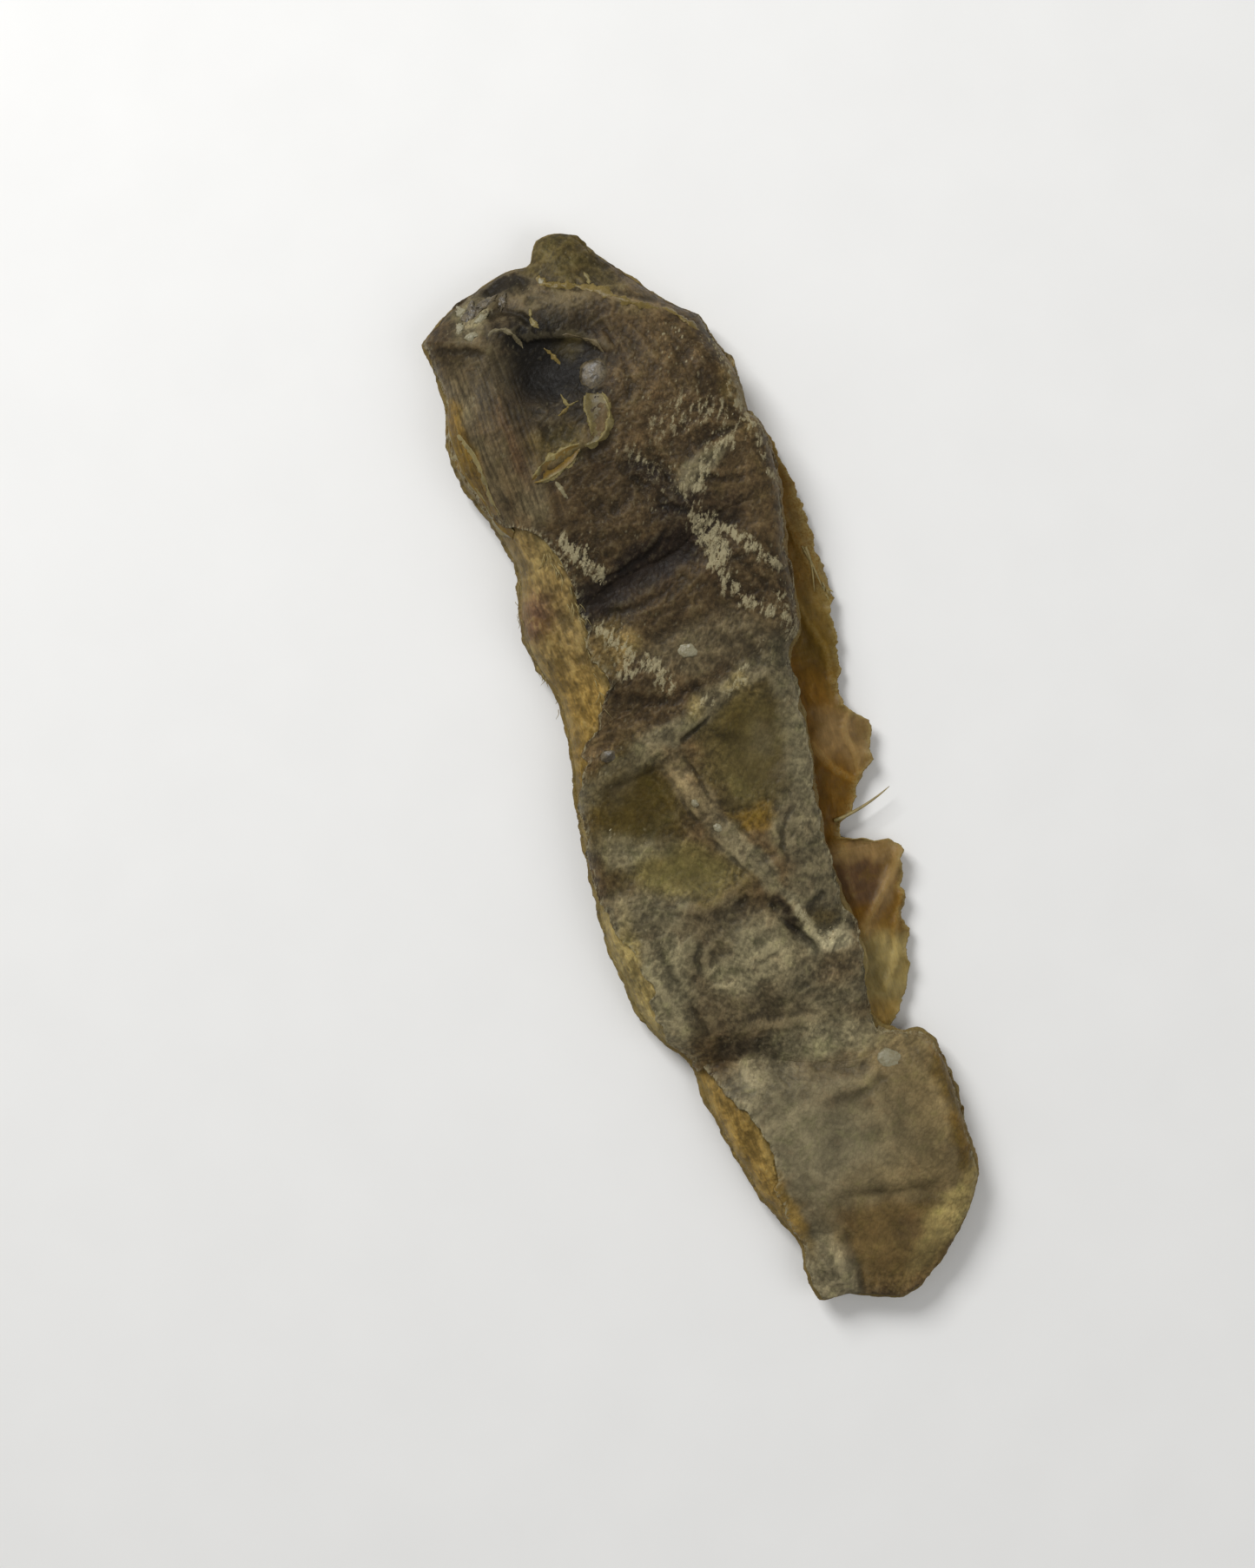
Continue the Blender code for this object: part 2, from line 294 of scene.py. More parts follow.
# The slab's outline in plan, from the shoulder end to the tail end, as in the solid.
LEFT_SIDE: Points = (
    (-28.8, 86.8), (-27.6, 76.4), (-29.4, 68.2), (-28.8, 61.2), (-26.2, 53.8), (-23.5, 43.4),
    (-25.6, 31.2), (-22.5, 15.9), (-25.1, -4.9), (-25.9, -27), (-22.6, -42.3), (-17.5, -49.6),
    (-16, -60.3), (-11.5, -76.9), (-7, -86.2), (-7.8, -91.3), (-6.5, -96.4),
)
RIGHT_SIDE: Points = (
    (19.8, 78.2), (21, 73.6), (23, 67.2), (23, 59.7), (25, 56), (25.2, 46),
    (23, 32.7), (21.9, 20.6), (18.6, 15.4), (17.9, 0.6), (15.7, -18.9), (17.1, -37.4),
    (15.5, -46), (16.2, -51.8), (19.6, -54.2), (24.6, -56.4), (26.4, -66), (26.3, -82.6),
)
TOP_END: Points = (
    (-28.8, 86.8), (-23.5, 90.4), (-12.2, 94.6), (-6.6, 94.9), (-4.2, 98.8), (1.2, 98.4),
    (5, 93.8), (13.8, 83.4), (19.8, 78.2),
)
TAIL_END: Points = (
    (-6.5, -96.4), (-0.6, -97), (7.8, -99.4), (15.2, -95.6), (22.6, -88.4), (26.3, -82.6),
)


def turned(dx: Array, dy: Array, turn: float) -> tuple[Array, Array]:
    """Offsets seen in axes turned by an angle in degrees, as (along, across)."""
    c, s = math.cos(math.radians(turn)), math.sin(math.radians(turn))
    return dx * c + dy * s, -dx * s + dy * c


def patch_axes(x: Array, y: Array, patch: Patch) -> tuple[Array, Array]:
    """Where points lie along and across a patch, in its half sizes."""
    along, across = turned(x - patch[0], y - patch[1], patch[4])
    return along / patch[2], across / patch[3]


@dataclass(frozen=True)
class Form:
    """The slab's broad form: its outline, and the heights of its skin side and its underside."""

    rim_top: float = 4.6
    rim_right: float = 9.4  # along the middle of the right side, where the ledge comes out under it
    rim_lift: float = 1.6
    rim_width_under: float = 6.0
    right_shoulder: float = 5.0
    head_warp: tuple[float, float] = (58.0, 2.6)
    tail_warp: tuple[float, float] = (-66.0, 1.8)
    half_length: float = 99.6
    lowered: float = 0.75  # how far the broad form lies below the solid's, to leave room for fine relief
    crown: Points = (
        (-99, 6), (-90, 8.2), (-74, 10.8), (-62, 11.2), (-51, 9.4), (-40, 11.6),
        (-20, 12.8), (0, 13.2), (22, 14.6), (46, 16.2), (66, 16), (82, 13.2),
        (92, 9.6), (100, 7.2),
    )
    left_shoulder: Points = (
        (-60, 7), (0, 8), (14, 13), (40, 13), (60, 9), (100, 7),
    )
    middle_line: Points = ((-100, 9), (-50, -2))
    # Swellings and hollows.
    mounds: tuple[Patch, ...] = (
        (-9, 75, 10, 7, 15, -2),
        (-18.5, 62, 14, 6, 94, 0.7),
        (9, 66, 16, 9, 95, 0.8),
        (0, 37, 17, 4.2, 15, -2),
        (15.5, 31, 13, 5, -62, 1),
        (-2, 9, 23, 3, 18, 0.6),
        (8, 2, 9, 7, 80, -1.2),
        (-14.8, -4.5, 9, 7.5, 60, -1.3),
        (-9.5, -16.5, 7, 3.6, -20, -0.7),
        (-2, -7.5, 16, 3.2, -66, 0.35),
        (-4, -21.5, 12, 2.4, 10, 0.4),
        (-3.1, -33, 8, 5.5, 0, 1.3),
        (6.5, -31.3, 5.5, 1.5, -64, -0.8),
        (-2, -54, 18, 2.6, -13, -1.2),
        (12, -81.5, 14, 1.6, -8, -0.9),
        (-1, -91, 6, 1.8, 95, 0.8),
    )

    def outline(self) -> Array:
        """The slab's closed outline, clockwise seen from above."""
        top, right = smooth_curve(TOP_END), smooth_curve(RIGHT_SIDE)
        tail, left = smooth_curve(TAIL_END)[::-1], smooth_curve(LEFT_SIDE)[::-1]
        return np.vstack([top[:-1], right[:-1], tail[:-1], left])

    def inward(self, x: Array, y: Array) -> Array:
        """How far inside the outline each point lies, and zero outside it."""
        return np.maximum(-nearest_on(x, y, self.outline(), 30.0).side, 0.0)

    def warp(self, y: Array) -> Array:
        """How far the slab rises off the table towards its two ends, by a square."""
        head = np.clip((y - self.head_warp[0]) / (self.half_length - self.head_warp[0]), 0.0, 1.0)
        tail = np.clip((self.tail_warp[0] - y) / (self.half_length + self.tail_warp[0]), 0.0, 1.0)
        return self.head_warp[1] * head**2 + self.tail_warp[1] * tail**2

    def rim_height(self, x: Array, y: Array) -> Array:
        """Height of the skin's rim: it eases up to the right side's along the middle of the piece."""
        right = smoothstep(2.0, 12.0, x) * smoothstep(-52.0, -40.0, y) * smoothstep(78.0, 62.0, y)
        return self.rim_top + (self.rim_right - self.rim_top) * right

    def skin_height(self, x: Array, y: Array, inward: Array) -> Array:
        """Height of the skin side: the crown falls to the rim along a quarter of an ellipse, and carries
        turned Gaussian mounds.

        Args:
            x, y: the points.
            inward: how far inside the outline they lie.

        Returns:
            The height above the table.
        """
        left = x < at_station(self.middle_line, y)
        width = np.where(left, at_station(self.left_shoulder, y), self.right_shoulder)
        share = np.clip(inward / width, 0.0, 1.0)
        crown = at_station(self.crown, y) - self.lowered
        for mound in self.mounds:
            along, across = patch_axes(x, y, mound)
            crown = crown + mound[5] * np.exp(-(along**2) - across**2)
        shoulder = np.sqrt(1.0 - (1.0 - share) ** 2)
        rim = self.rim_height(x, y)
        return rim + (crown - rim) * shoulder + 0.5 * self.warp(y)

    def under_height(self, y: Array, inward: Array) -> Array:
        """Height of the underside: flat, curling up by a square near the rim, and warping up at the ends."""
        curl = 1.0 - np.clip(inward / self.rim_width_under, 0.0, 1.0)
        return self.rim_lift * curl**2 + self.warp(y)


FORM = Form()


# ---- the relief


class Stroke(Enum):
    """The kinds of line that run over the skin."""

    RIDGE = "ridge"
    CREASE = "crease"
    FOLD = "fold"


# The lines of each kind: (height, half width, points). A fold stands up to the left of its travel.
LINES: dict[Stroke, tuple[tuple[float, float, Points], ...]] = {
    Stroke.FOLD: (
        (0.9, 0.9, ((-17.1, 56.7), (-12.1, 58.5), (-7.7, 60), (-3.6, 60.4), (-1.5, 62.2), (0.2, 66.2),
            (-0.5, 69.2))),
        (0.3, 0.8, ((-14.8, 55), (-14, 60), (-13.2, 64), (-13.4, 67))),
        (0.8, 0.8, ((-17.6, 83.2), (-14.4, 84), (-12.7, 81.8), (-8, 80.6), (-3, 79.6), (1.6, 76.1),
            (2, 72.9))),
        (0.7, 0.8, ((16, 79.4), (10.5, 82.4), (5, 85.4), (2.3, 87.2), (-3.6, 88.9), (-6.4, 92.2))),
    ),
    Stroke.RIDGE: (
        (0.7, 1, ((7.6, 48), (8.9, 49.4), (10.9, 52), (14.6, 54.2), (19, 53.6))),
        (0.4, 0.8, ((9.5, 56.5), (13, 58.6), (17.5, 58), (21, 56))),
        (0.35, 0.9, ((6, 80), (10, 73), (14, 66.5), (15.5, 60))),
        (0.9, 1, ((-17, 89), (-13.8, 90.4), (-11, 89.6), (-9, 87.4))),
        (0.25, 1.3, ((-22.5, 3.2), (-17, 4.4), (-10.1, 6.1), (-6, 7.6))),
        (0.3, 1.2, ((-5, 7.4), (-2.4, 8.8), (0.6, 10.6), (2.6, 12))),
        (0.3, 1.1, ((4.6, 13), (7.6, 14.4), (10.4, 16.2), (12, 17.6))),
        (0.3, 0.7, ((-19, 3.4), (-14, 4), (-9.6, 5.2))),
        (0.12, 0.7, ((-6, 3), (-5, -0.4), (-3.4, -6.2), (-0.9, -11), (1.8, -16.8))),
        (0.3, 0.7, ((-10.6, 1.4), (-9.4, -1.6), (-8.2, -6.6), (-6, -12))),
        (0.45, 1.1, ((-14.6, -21.3), (-9.6, -23), (-4.6, -22.2), (1.6, -20.3), (7.8, -18.1),
            (11.5, -15.5))),
        (0.4, 0.7, ((-10.4, -34.6), (-9.4, -31), (-7.4, -29.4))),
        (0.4, 0.6, ((-11.3, -36), (-8.6, -37.8), (-6, -38.4))),
        (0.3, 0.6, ((-3.6, -37), (0.7, -38), (4.4, -36.6))),
        (0.8, 0.9, ((7.9, -30.6), (9.5, -33.4), (11, -36.4), (13, -34.2), (16.2, -32.4))),
        (0.45, 0.9, ((10.6, -20.4), (13.2, -22.6), (16, -22))),
        (0.6, 1, ((-20.6, -28.4), (-19.3, -35.2), (-17.3, -42.1), (-16.5, -47.9))),
        (0.7, 0.8, ((6.6, -25.4), (8.2, -29.2), (10.6, -33.8))),
        (0.6, 1.1, ((-10, -45.2), (-4, -46), (3.4, -47.4), (11, -47))),
        (0.35, 0.9, ((-12, 27), (-5, 26.4), (2, 27.6), (8.6, 28))),
        (0.7, 1.1, ((-2.6, -84.4), (-1.5, -88.3), (-1.6, -92.1), (-1.2, -97))),
        (0.35, 1.2, ((11.6, -61.4), (12.6, -67), (12.7, -74.5))),
        (0.5, 1, ((-6, -57), (-3, -63), (-1.6, -70), (-2, -77))),
        (0.4, 1, ((18, -58.6), (22, -63), (23.4, -70), (22.6, -77))),
    ),
    Stroke.CREASE: (
        (0.6, 0.9, ((4.1, 60), (5.6, 55), (7, 50.5), (8.9, 45.1))),
        (0.55, 1, ((-0.5, 53.5), (2.4, 50.4), (5.2, 46.4), (9.5, 44.4))),
        (0.5, 0.7, ((10.8, 50), (14.5, 48.6), (19.5, 47.8), (23.5, 48.4))),
        (0.6, 0.7, ((24, 57.4), (20, 56.2), (16, 55.4), (12, 54))),
        (0.35, 0.6, ((1.5, 83), (3.6, 77), (4.4, 70), (3, 64))),
        (1.3, 1.1, ((-16.5, 91.6), (-13.5, 93), (-10.1, 93.2), (-7.8, 90.4))),
        (0.9, 0.8, ((-17.5, 86.9), (-14, 87.8), (-11, 86.4), (-8.8, 84))),
        (0.5, 0.7, ((-27.5, 84), (-22, 82.6), (-18, 80.6))),
        (0.8, 0.4, ((-4.7, 5.2), (-1, 7.2), (2.9, 9.5), (3.8, 10.2))),
        (0.45, 0.8, ((4, 9.8), (5.6, 10.8), (8.6, 12))),
        (0.4, 0.6, ((-20.4, 1.4), (-16, 1.8), (-11.9, 2.4), (-8.6, 4.2))),
        (0.4, 0.4, ((-8.8, 4), (-7.1, -0.3), (-6.1, -5.4), (-4.6, -9))),
        (0.35, 0.4, ((-3.6, -11.6), (-1, -15.6), (1.6, -20.3))),
        (0.35, 0.4, ((-4.8, 4.4), (-3, 0.1), (-1, -6.8))),
        (0.3, 0.5, ((0.4, -8.6), (1.9, -10.8), (4.7, -18), (6.6, -22.5))),
        (0.4, 0.9, ((-14.3, -23), (-8, -25), (-3, -24.6), (1.4, -23.1))),
        (0.5, 0.7, ((-11.6, -34.6), (-11.4, -31.4), (-9.8, -28.8), (-6.9, -27.2))),
        (0.4, 0.5, ((-2.8, -34.4), (0, -35), (3.2, -34.2))),
        (0.55, 0.6, ((3.4, -24.4), (5, -28.6), (6.5, -31.6), (8.6, -35.3), (9.4, -37.8))),
        (0.5, 0.8, ((9, -29.4), (11, -27.4), (13.4, -26.2))),
        (0.45, 0.7, ((9, -20.6), (8.2, -16), (9.8, -12), (13, -9.8))),
        (0.5, 0.8, ((-17.6, -27.6), (-16.2, -34.6), (-14, -41.4), (-13, -46.4))),
        (0.3, 1.3, ((-13.4, -48.2), (-9, -49.2), (-2.9, -50.8), (4, -51.8))),
        (0.5, 0.9, ((2, -55.2), (5.2, -56), (9, -57.6), (13.3, -58.3))),
        (0.4, 1.2, ((-15, 32.6), (-9.1, 34.8), (-2.4, 36.6), (3.6, 38.4), (8, 41.6))),
        (0.5, 0.5, ((-11, 36.4), (-4.4, 38.4), (1.6, 40.6), (6.6, 44.6))),
        (0.6, 0.9, ((-12, 31.4), (-6, 30.6), (1, 32.4), (7, 35))),
        (0.5, 0.8, ((11.6, 38.6), (15, 33.4), (18.6, 27.6), (21.4, 24.4))),
        (0.6, 0.9, ((-11.6, 17), (-7.6, 14.6), (-3, 13.6), (2.6, 15.2))),
        (0.4, 0.7, ((10.4, 22), (12.6, 18.4), (13.4, 15))),
        (0.16, 0.5, ((3.5, -79.6), (9.4, -80.2), (15.4, -81.4), (20, -82))),
        (0.5, 0.7, ((0.4, -84.6), (0.9, -88), (1.2, -92), (1, -97.4))),
        (0.6, 0.9, ((4.6, -61.2), (8, -62.4), (12.6, -61.4), (15, -59.8))),
        (0.4, 0.8, ((-4.6, -73), (-2.6, -76), (0, -77.2))),
    ),
}

# Where pale crusted scales cling: (strength, half width, points).
CRUSTS: tuple[tuple[float, float, Points], ...] = (
    (1.15, 3.1, ((10.4, 41.4), (11.4, 38.4), (10.6, 35.4))),
    (0.85, 1.8, ((10.4, 35.4), (11.2, 31), (13.1, 26.8), (16.7, 24.4), (20.6, 21))),
    (0.95, 1.7, ((14, 39.6), (15.8, 37.6), (17.9, 34.6), (20.6, 31))),
    (0.7, 1.9, ((20, 26), (19.6, 21.4), (20.4, 17))),
    (1, 2.2, ((-12, 28.4), (-10.2, 25.6), (-8.7, 23.4), (-9.8, 20.6))),
    (1.05, 1.7, ((-6.2, 21.4), (-4.7, 18.8), (-3.1, 15.8))),
    (0.95, 2, ((-14.8, 45), (-12.2, 42), (-9.4, 38.4))),
    (0.6, 4.2, ((8, 60), (13, 62.6), (18, 60), (22, 56))),
    (0.95, 1.6, ((10.6, 47.4), (12.4, 50.6), (15, 53.6), (18.4, 54.2))),
    (0.55, 2.6, ((2, 57), (5, 52), (9, 47), (8, 43.6))),
    (0.8, 1.3, ((-0.6, 10.2), (1.2, 10.8), (2.6, 11.6))),
    (0.85, 1.4, ((6.6, 12.6), (8.6, 13.4), (10.4, 15.4))),
    (0.9, 1.1, ((7.6, -27.4), (9.4, -31.4), (11.2, -34.8), (13, -34))),
    (0.75, 1.1, ((20.4, 74), (21.4, 69.4), (21.6, 62), (23.2, 56), (24, 47))),
    (0.35, 2.8, ((11, 24), (14, 19), (17, 14))), (0.3, 2.2, ((-20.4, -7), (-16.9, -9.5), (-14, -11))),
    (0.25, 1.8, ((-19, -24), (-16, -28), (-15, -34), (-12, -40))),
    (0.45, 1.4, ((9.6, -35.6), (12.2, -33.7), (16.2, -32.4))),
    (0.25, 2, ((-9.6, -36.4), (-4, -38.4), (2, -37.6))), (0.25, 1.6, ((-3.4, -85), (-1.4, -90), (-1, -96))),
    (0.5, 1.6, ((-21.4, 87.6), (-19.4, 90.4), (-16, 89))),
)


@dataclass(frozen=True)
class Relief:
    """The skin's fine relief over the broad form: strokes, wrinkles, fin rays, scales and crust."""

    warp_reach: float = 0.45
    warp_length: float = 6.0
    line_share: float = 0.62  # how strong the lines' relief is
    swell: tuple[float, float] = (10.0, 0.42)  # (wavelength, height) of each layer of wrinkles
    wrinkle: tuple[float, float] = (3.4, 0.17)
    crinkle: tuple[float, float] = (0.95, 0.075)
    scale_width: float = 0.95
    scale_height: float = 0.05
    crust_height: float = 0.2
    ray_spacing: float = 0.85
    ray_height: float = 0.065
    # Panels that dried smooth.
    smooth_panels: tuple[Patch, ...] = (
        (8.5, 1.5, 9, 6.5, 80, 0.8),
        (-14.8, -3.5, 7.5, 6.5, 60, 0.8),
        (-9.5, -16, 6.5, 3.6, -20, 0.7),
        (9, -89, 11, 7, -10, 1),
        (-9.4, 75.4, 8.4, 5.6, 12, 1),
        (9, -72, 20, 17, 0, 1),
        (-3, 36.2, 13, 2.6, 16, 0.6),
    )

    def bent(self, x: Array, y: Array, seed: int) -> tuple[Array, Array]:
        """Positions pushed about by noise of two sizes, so that what is drawn with them is uneven."""
        bx = self.warp_reach * fractal(x / self.warp_length, y / self.warp_length, seed, 3)
        by = self.warp_reach * fractal(x / self.warp_length, y / self.warp_length, seed + 5, 3)
        return x + bx, y + by

    def smoothness(self, x: Array, y: Array) -> Array:
        """How smooth the skin dried at each point, from 0 to 1."""
        total = np.zeros(x.shape)
        for panel in self.smooth_panels:
            along, across = patch_axes(x, y, panel)
            total = np.maximum(total, panel[5] * np.exp(-(along**4) - across**4))
        return total

    def crust(self, x: Array, y: Array) -> Array:
        """How thickly crusted scales cling at each point, from 0 to about 1: Gaussian bands along the
        crust's lines, broken up by noise of two sizes."""
        wx, wy = self.bent(x, y, 71)
        band = np.zeros(x.shape)
        for strength, width, points in CRUSTS:
            at = nearest_on(wx, wy, smooth_curve(points, 5), 3.5 * width)
            band = np.maximum(band, strength * np.exp(-((at.distance / width) ** 2)))
        along, across = turned(x, y, 58.0)
        patchy = 0.5 + 0.55 * fractal(along / 2.8, across / 1.1, 83, 5, 0.66)
        return np.clip(band * smoothstep(0.36, 0.72, band * 0.3 + patchy * 0.64), 0.0, 1.0)

    def stroke(self, kind: Stroke, at: Nearest, width: float) -> Array:
        """A line's relief for a height of 1, fading out at its two ends. With d the distance and s the
        signed side in half widths, a ridge is exp(-d^2). A crease is its negative, with the skin to its
        left higher by 0.35 tanh(s) exp(-(s/4)^2). A fold falls off slowly to its left by exp(-(s/3.5)^2),
        drops at once at the line, and has a groove at its foot.

        Args:
            kind: the line's kind.
            at: where the points lie against it.
            width: its half width.

        Returns:
            The relief at each point.
        """
        d, s = at.distance / width, at.side / width
        if kind is Stroke.RIDGE:
            shape = np.exp(-(d**2))
        elif kind is Stroke.CREASE:
            shape = -np.exp(-(d**2)) + 0.35 * np.tanh(s) * np.exp(-((s / 4.0) ** 2))
        else:
            raised = np.exp(-((s / 3.5) ** 2)) * (0.5 + 0.5 * np.tanh(s / 0.5))
            shape = raised - 0.35 * np.exp(-((s + 0.9) ** 2))
        return shape * smoothstep(0.0, 0.16, at.share) * smoothstep(0.0, 0.16, 1.0 - at.share)

    def strokes(self, x: Array, y: Array) -> Array:
        """The sum of all the lines' heights, drawn with bent positions."""
        wx, wy = self.bent(x, y, 11)
        total = np.zeros(x.shape)
        for kind, lines in LINES.items():
            for height, width, points in lines:
                at = nearest_on(wx, wy, smooth_curve(points, 6), 7.0 * width)
                total += height * self.stroke(kind, at, width)
        uneven = 0.85 + 0.55 * fractal(x / 6.0, y / 6.0, 15, 3)
        return self.line_share * total * np.clip(uneven, 0.25, 1.4)

    def fin_rays(self, x: Array, y: Array) -> tuple[Array, Array]:
        """The flattened fin's rays: long shallow waves that run down the left of the shoulder.

        Args:
            x, y: the points.

        Returns:
            Their height, and the share of the fin at each point.
        """
        lean = x + 0.06 * (y - 60.0) + 0.5 * wave_noise(x / 9.0, y / 16.0, 31)
        inside = smoothstep(-29.5, -27.0, x) * smoothstep(-11.5, -14.5, x + 0.1 * (y - 60.0))
        inside = inside * smoothstep(47.0, 52.0, y) * smoothstep(84.0, 76.0, y)
        phase = 2.0 * math.pi * lean / self.ray_spacing + 2.6 * wave_noise(x / 2.0, y / 11.0, 37)
        ray = np.cos(phase) * (0.5 + 0.8 * wave_noise(x / 1.3, y / 6.0, 41))
        ray += 1.4 * wave_noise(lean / 1.7, y / 14.0, 43) + 0.5 * wave_noise(lean / 0.42, y / 5.0, 44)
        return self.ray_height * ray * inside, inside

    def scales(self, x: Array, y: Array) -> tuple[Array, Array]:
        """The net of small scales, in rows that slant across the skin."""
        along, across = turned(x, y, 32.0)
        wide = along + 0.35 * wave_noise(x / 3.0, y / 3.0, 45)
        tall = across + 0.35 * wave_noise(x / 3.0, y / 3.0, 47)
        return cells(wide / (1.35 * self.scale_width), tall / self.scale_width, 51)

    def fine(self, x: Array, y: Array, crust: Array) -> Array:
        """Wrinkles, crinkles, scales, rays and crust on top of the strokes.

        Args:
            x, y: the points.
            crust: how thickly they are crusted.

        Returns:
            The height to add.
        """
        rough = 1.0 - 0.75 * self.smoothness(x, y)
        wx, wy = self.bent(x, y, 21)
        length, height = self.swell
        total = height * rough * fractal(wx / length, wy / length, 101, 3)
        length, height = self.wrinkle
        along, across = turned(wx, wy, 24.0)
        total += height * rough * (2.0 * ridged(along / (1.7 * length), across / length, 113, 3) - 0.9)
        length, height = self.crinkle
        total += height * (0.45 + 0.55 * rough) * fractal(wx / length, wy / length, 127, 3, 0.6)
        margin, own = self.scales(x, y)
        total += self.scale_height * (smoothstep(0.0, 0.3, margin) - 0.6 + 0.8 * (own - 0.5))
        rays, inside = self.fin_rays(x, y)
        total = total * (1.0 - 0.6 * inside) + rays
        along, across = turned(wx, wy, 52.0)
        streaks = 0.7 + 0.9 * fractal(along / 1.5, across / 0.55, 63, 3, 0.6)
        return total + self.crust_height * crust * streaks


RELIEF = Relief()


# ---- the colours


class Tone(Enum):
    """The dried piece's colours as they look, in sRGB from 0 to 255."""

    NEAR_BLACK = (30, 26, 19)
    # Painted shade: the dark of the shadow in the hollow fold and along creases.
    SLATE_SHADE = (44, 39, 32)
    DARK_GREY = (60, 54, 44)
    DARK_BROWN = (70, 59, 44)
    BROWN = (86, 72, 52)
    RED_BROWN = (88, 68, 50)
    TAN_GREY = (120, 106, 78)
    GREY_BROWN = (94, 84, 64)
    GREY = (106, 98, 76)
    PALE_GREY = (124, 116, 90)
    NUB_GREY = (80, 71, 46)
    TAIL_GREY = (124, 115, 90)
    TAIL_TAN = (121, 106, 75)
    TAIL_BROWN = (106, 88, 57)
    DARK_OLIVE = (72, 62, 36)
    OLIVE = (88, 78, 50)
    PALE_OLIVE = (106, 96, 60)
    GOLD_OLIVE = (106, 84, 40)
    TAN = (118, 100, 64)
    YELLOW_TAN = (132, 108, 60)
    AMBER = (108, 78, 32)
    STRAND = (122, 111, 74)
    MEMBRANE = (134, 129, 106)
    PEACH = (130, 106, 70)
    LOW_STRAND = (112, 97, 58)
    STRAW = (146, 130, 84)
    PINK_BROWN = (104, 78, 62)
    CRUST = (160, 151, 120)

    def linear(self) -> Array:
        """The colour as linear light from 0 to 1, by the sRGB curve, less the pale veil that gloss adds."""
        share = np.array(self.value, float) / 255.0
        light = np.where(share <= 0.04045, share / 12.92, ((share + 0.055) / 1.055) ** 2.4)
        return np.maximum(light - GLOSS_VEIL, 0.35 * light)
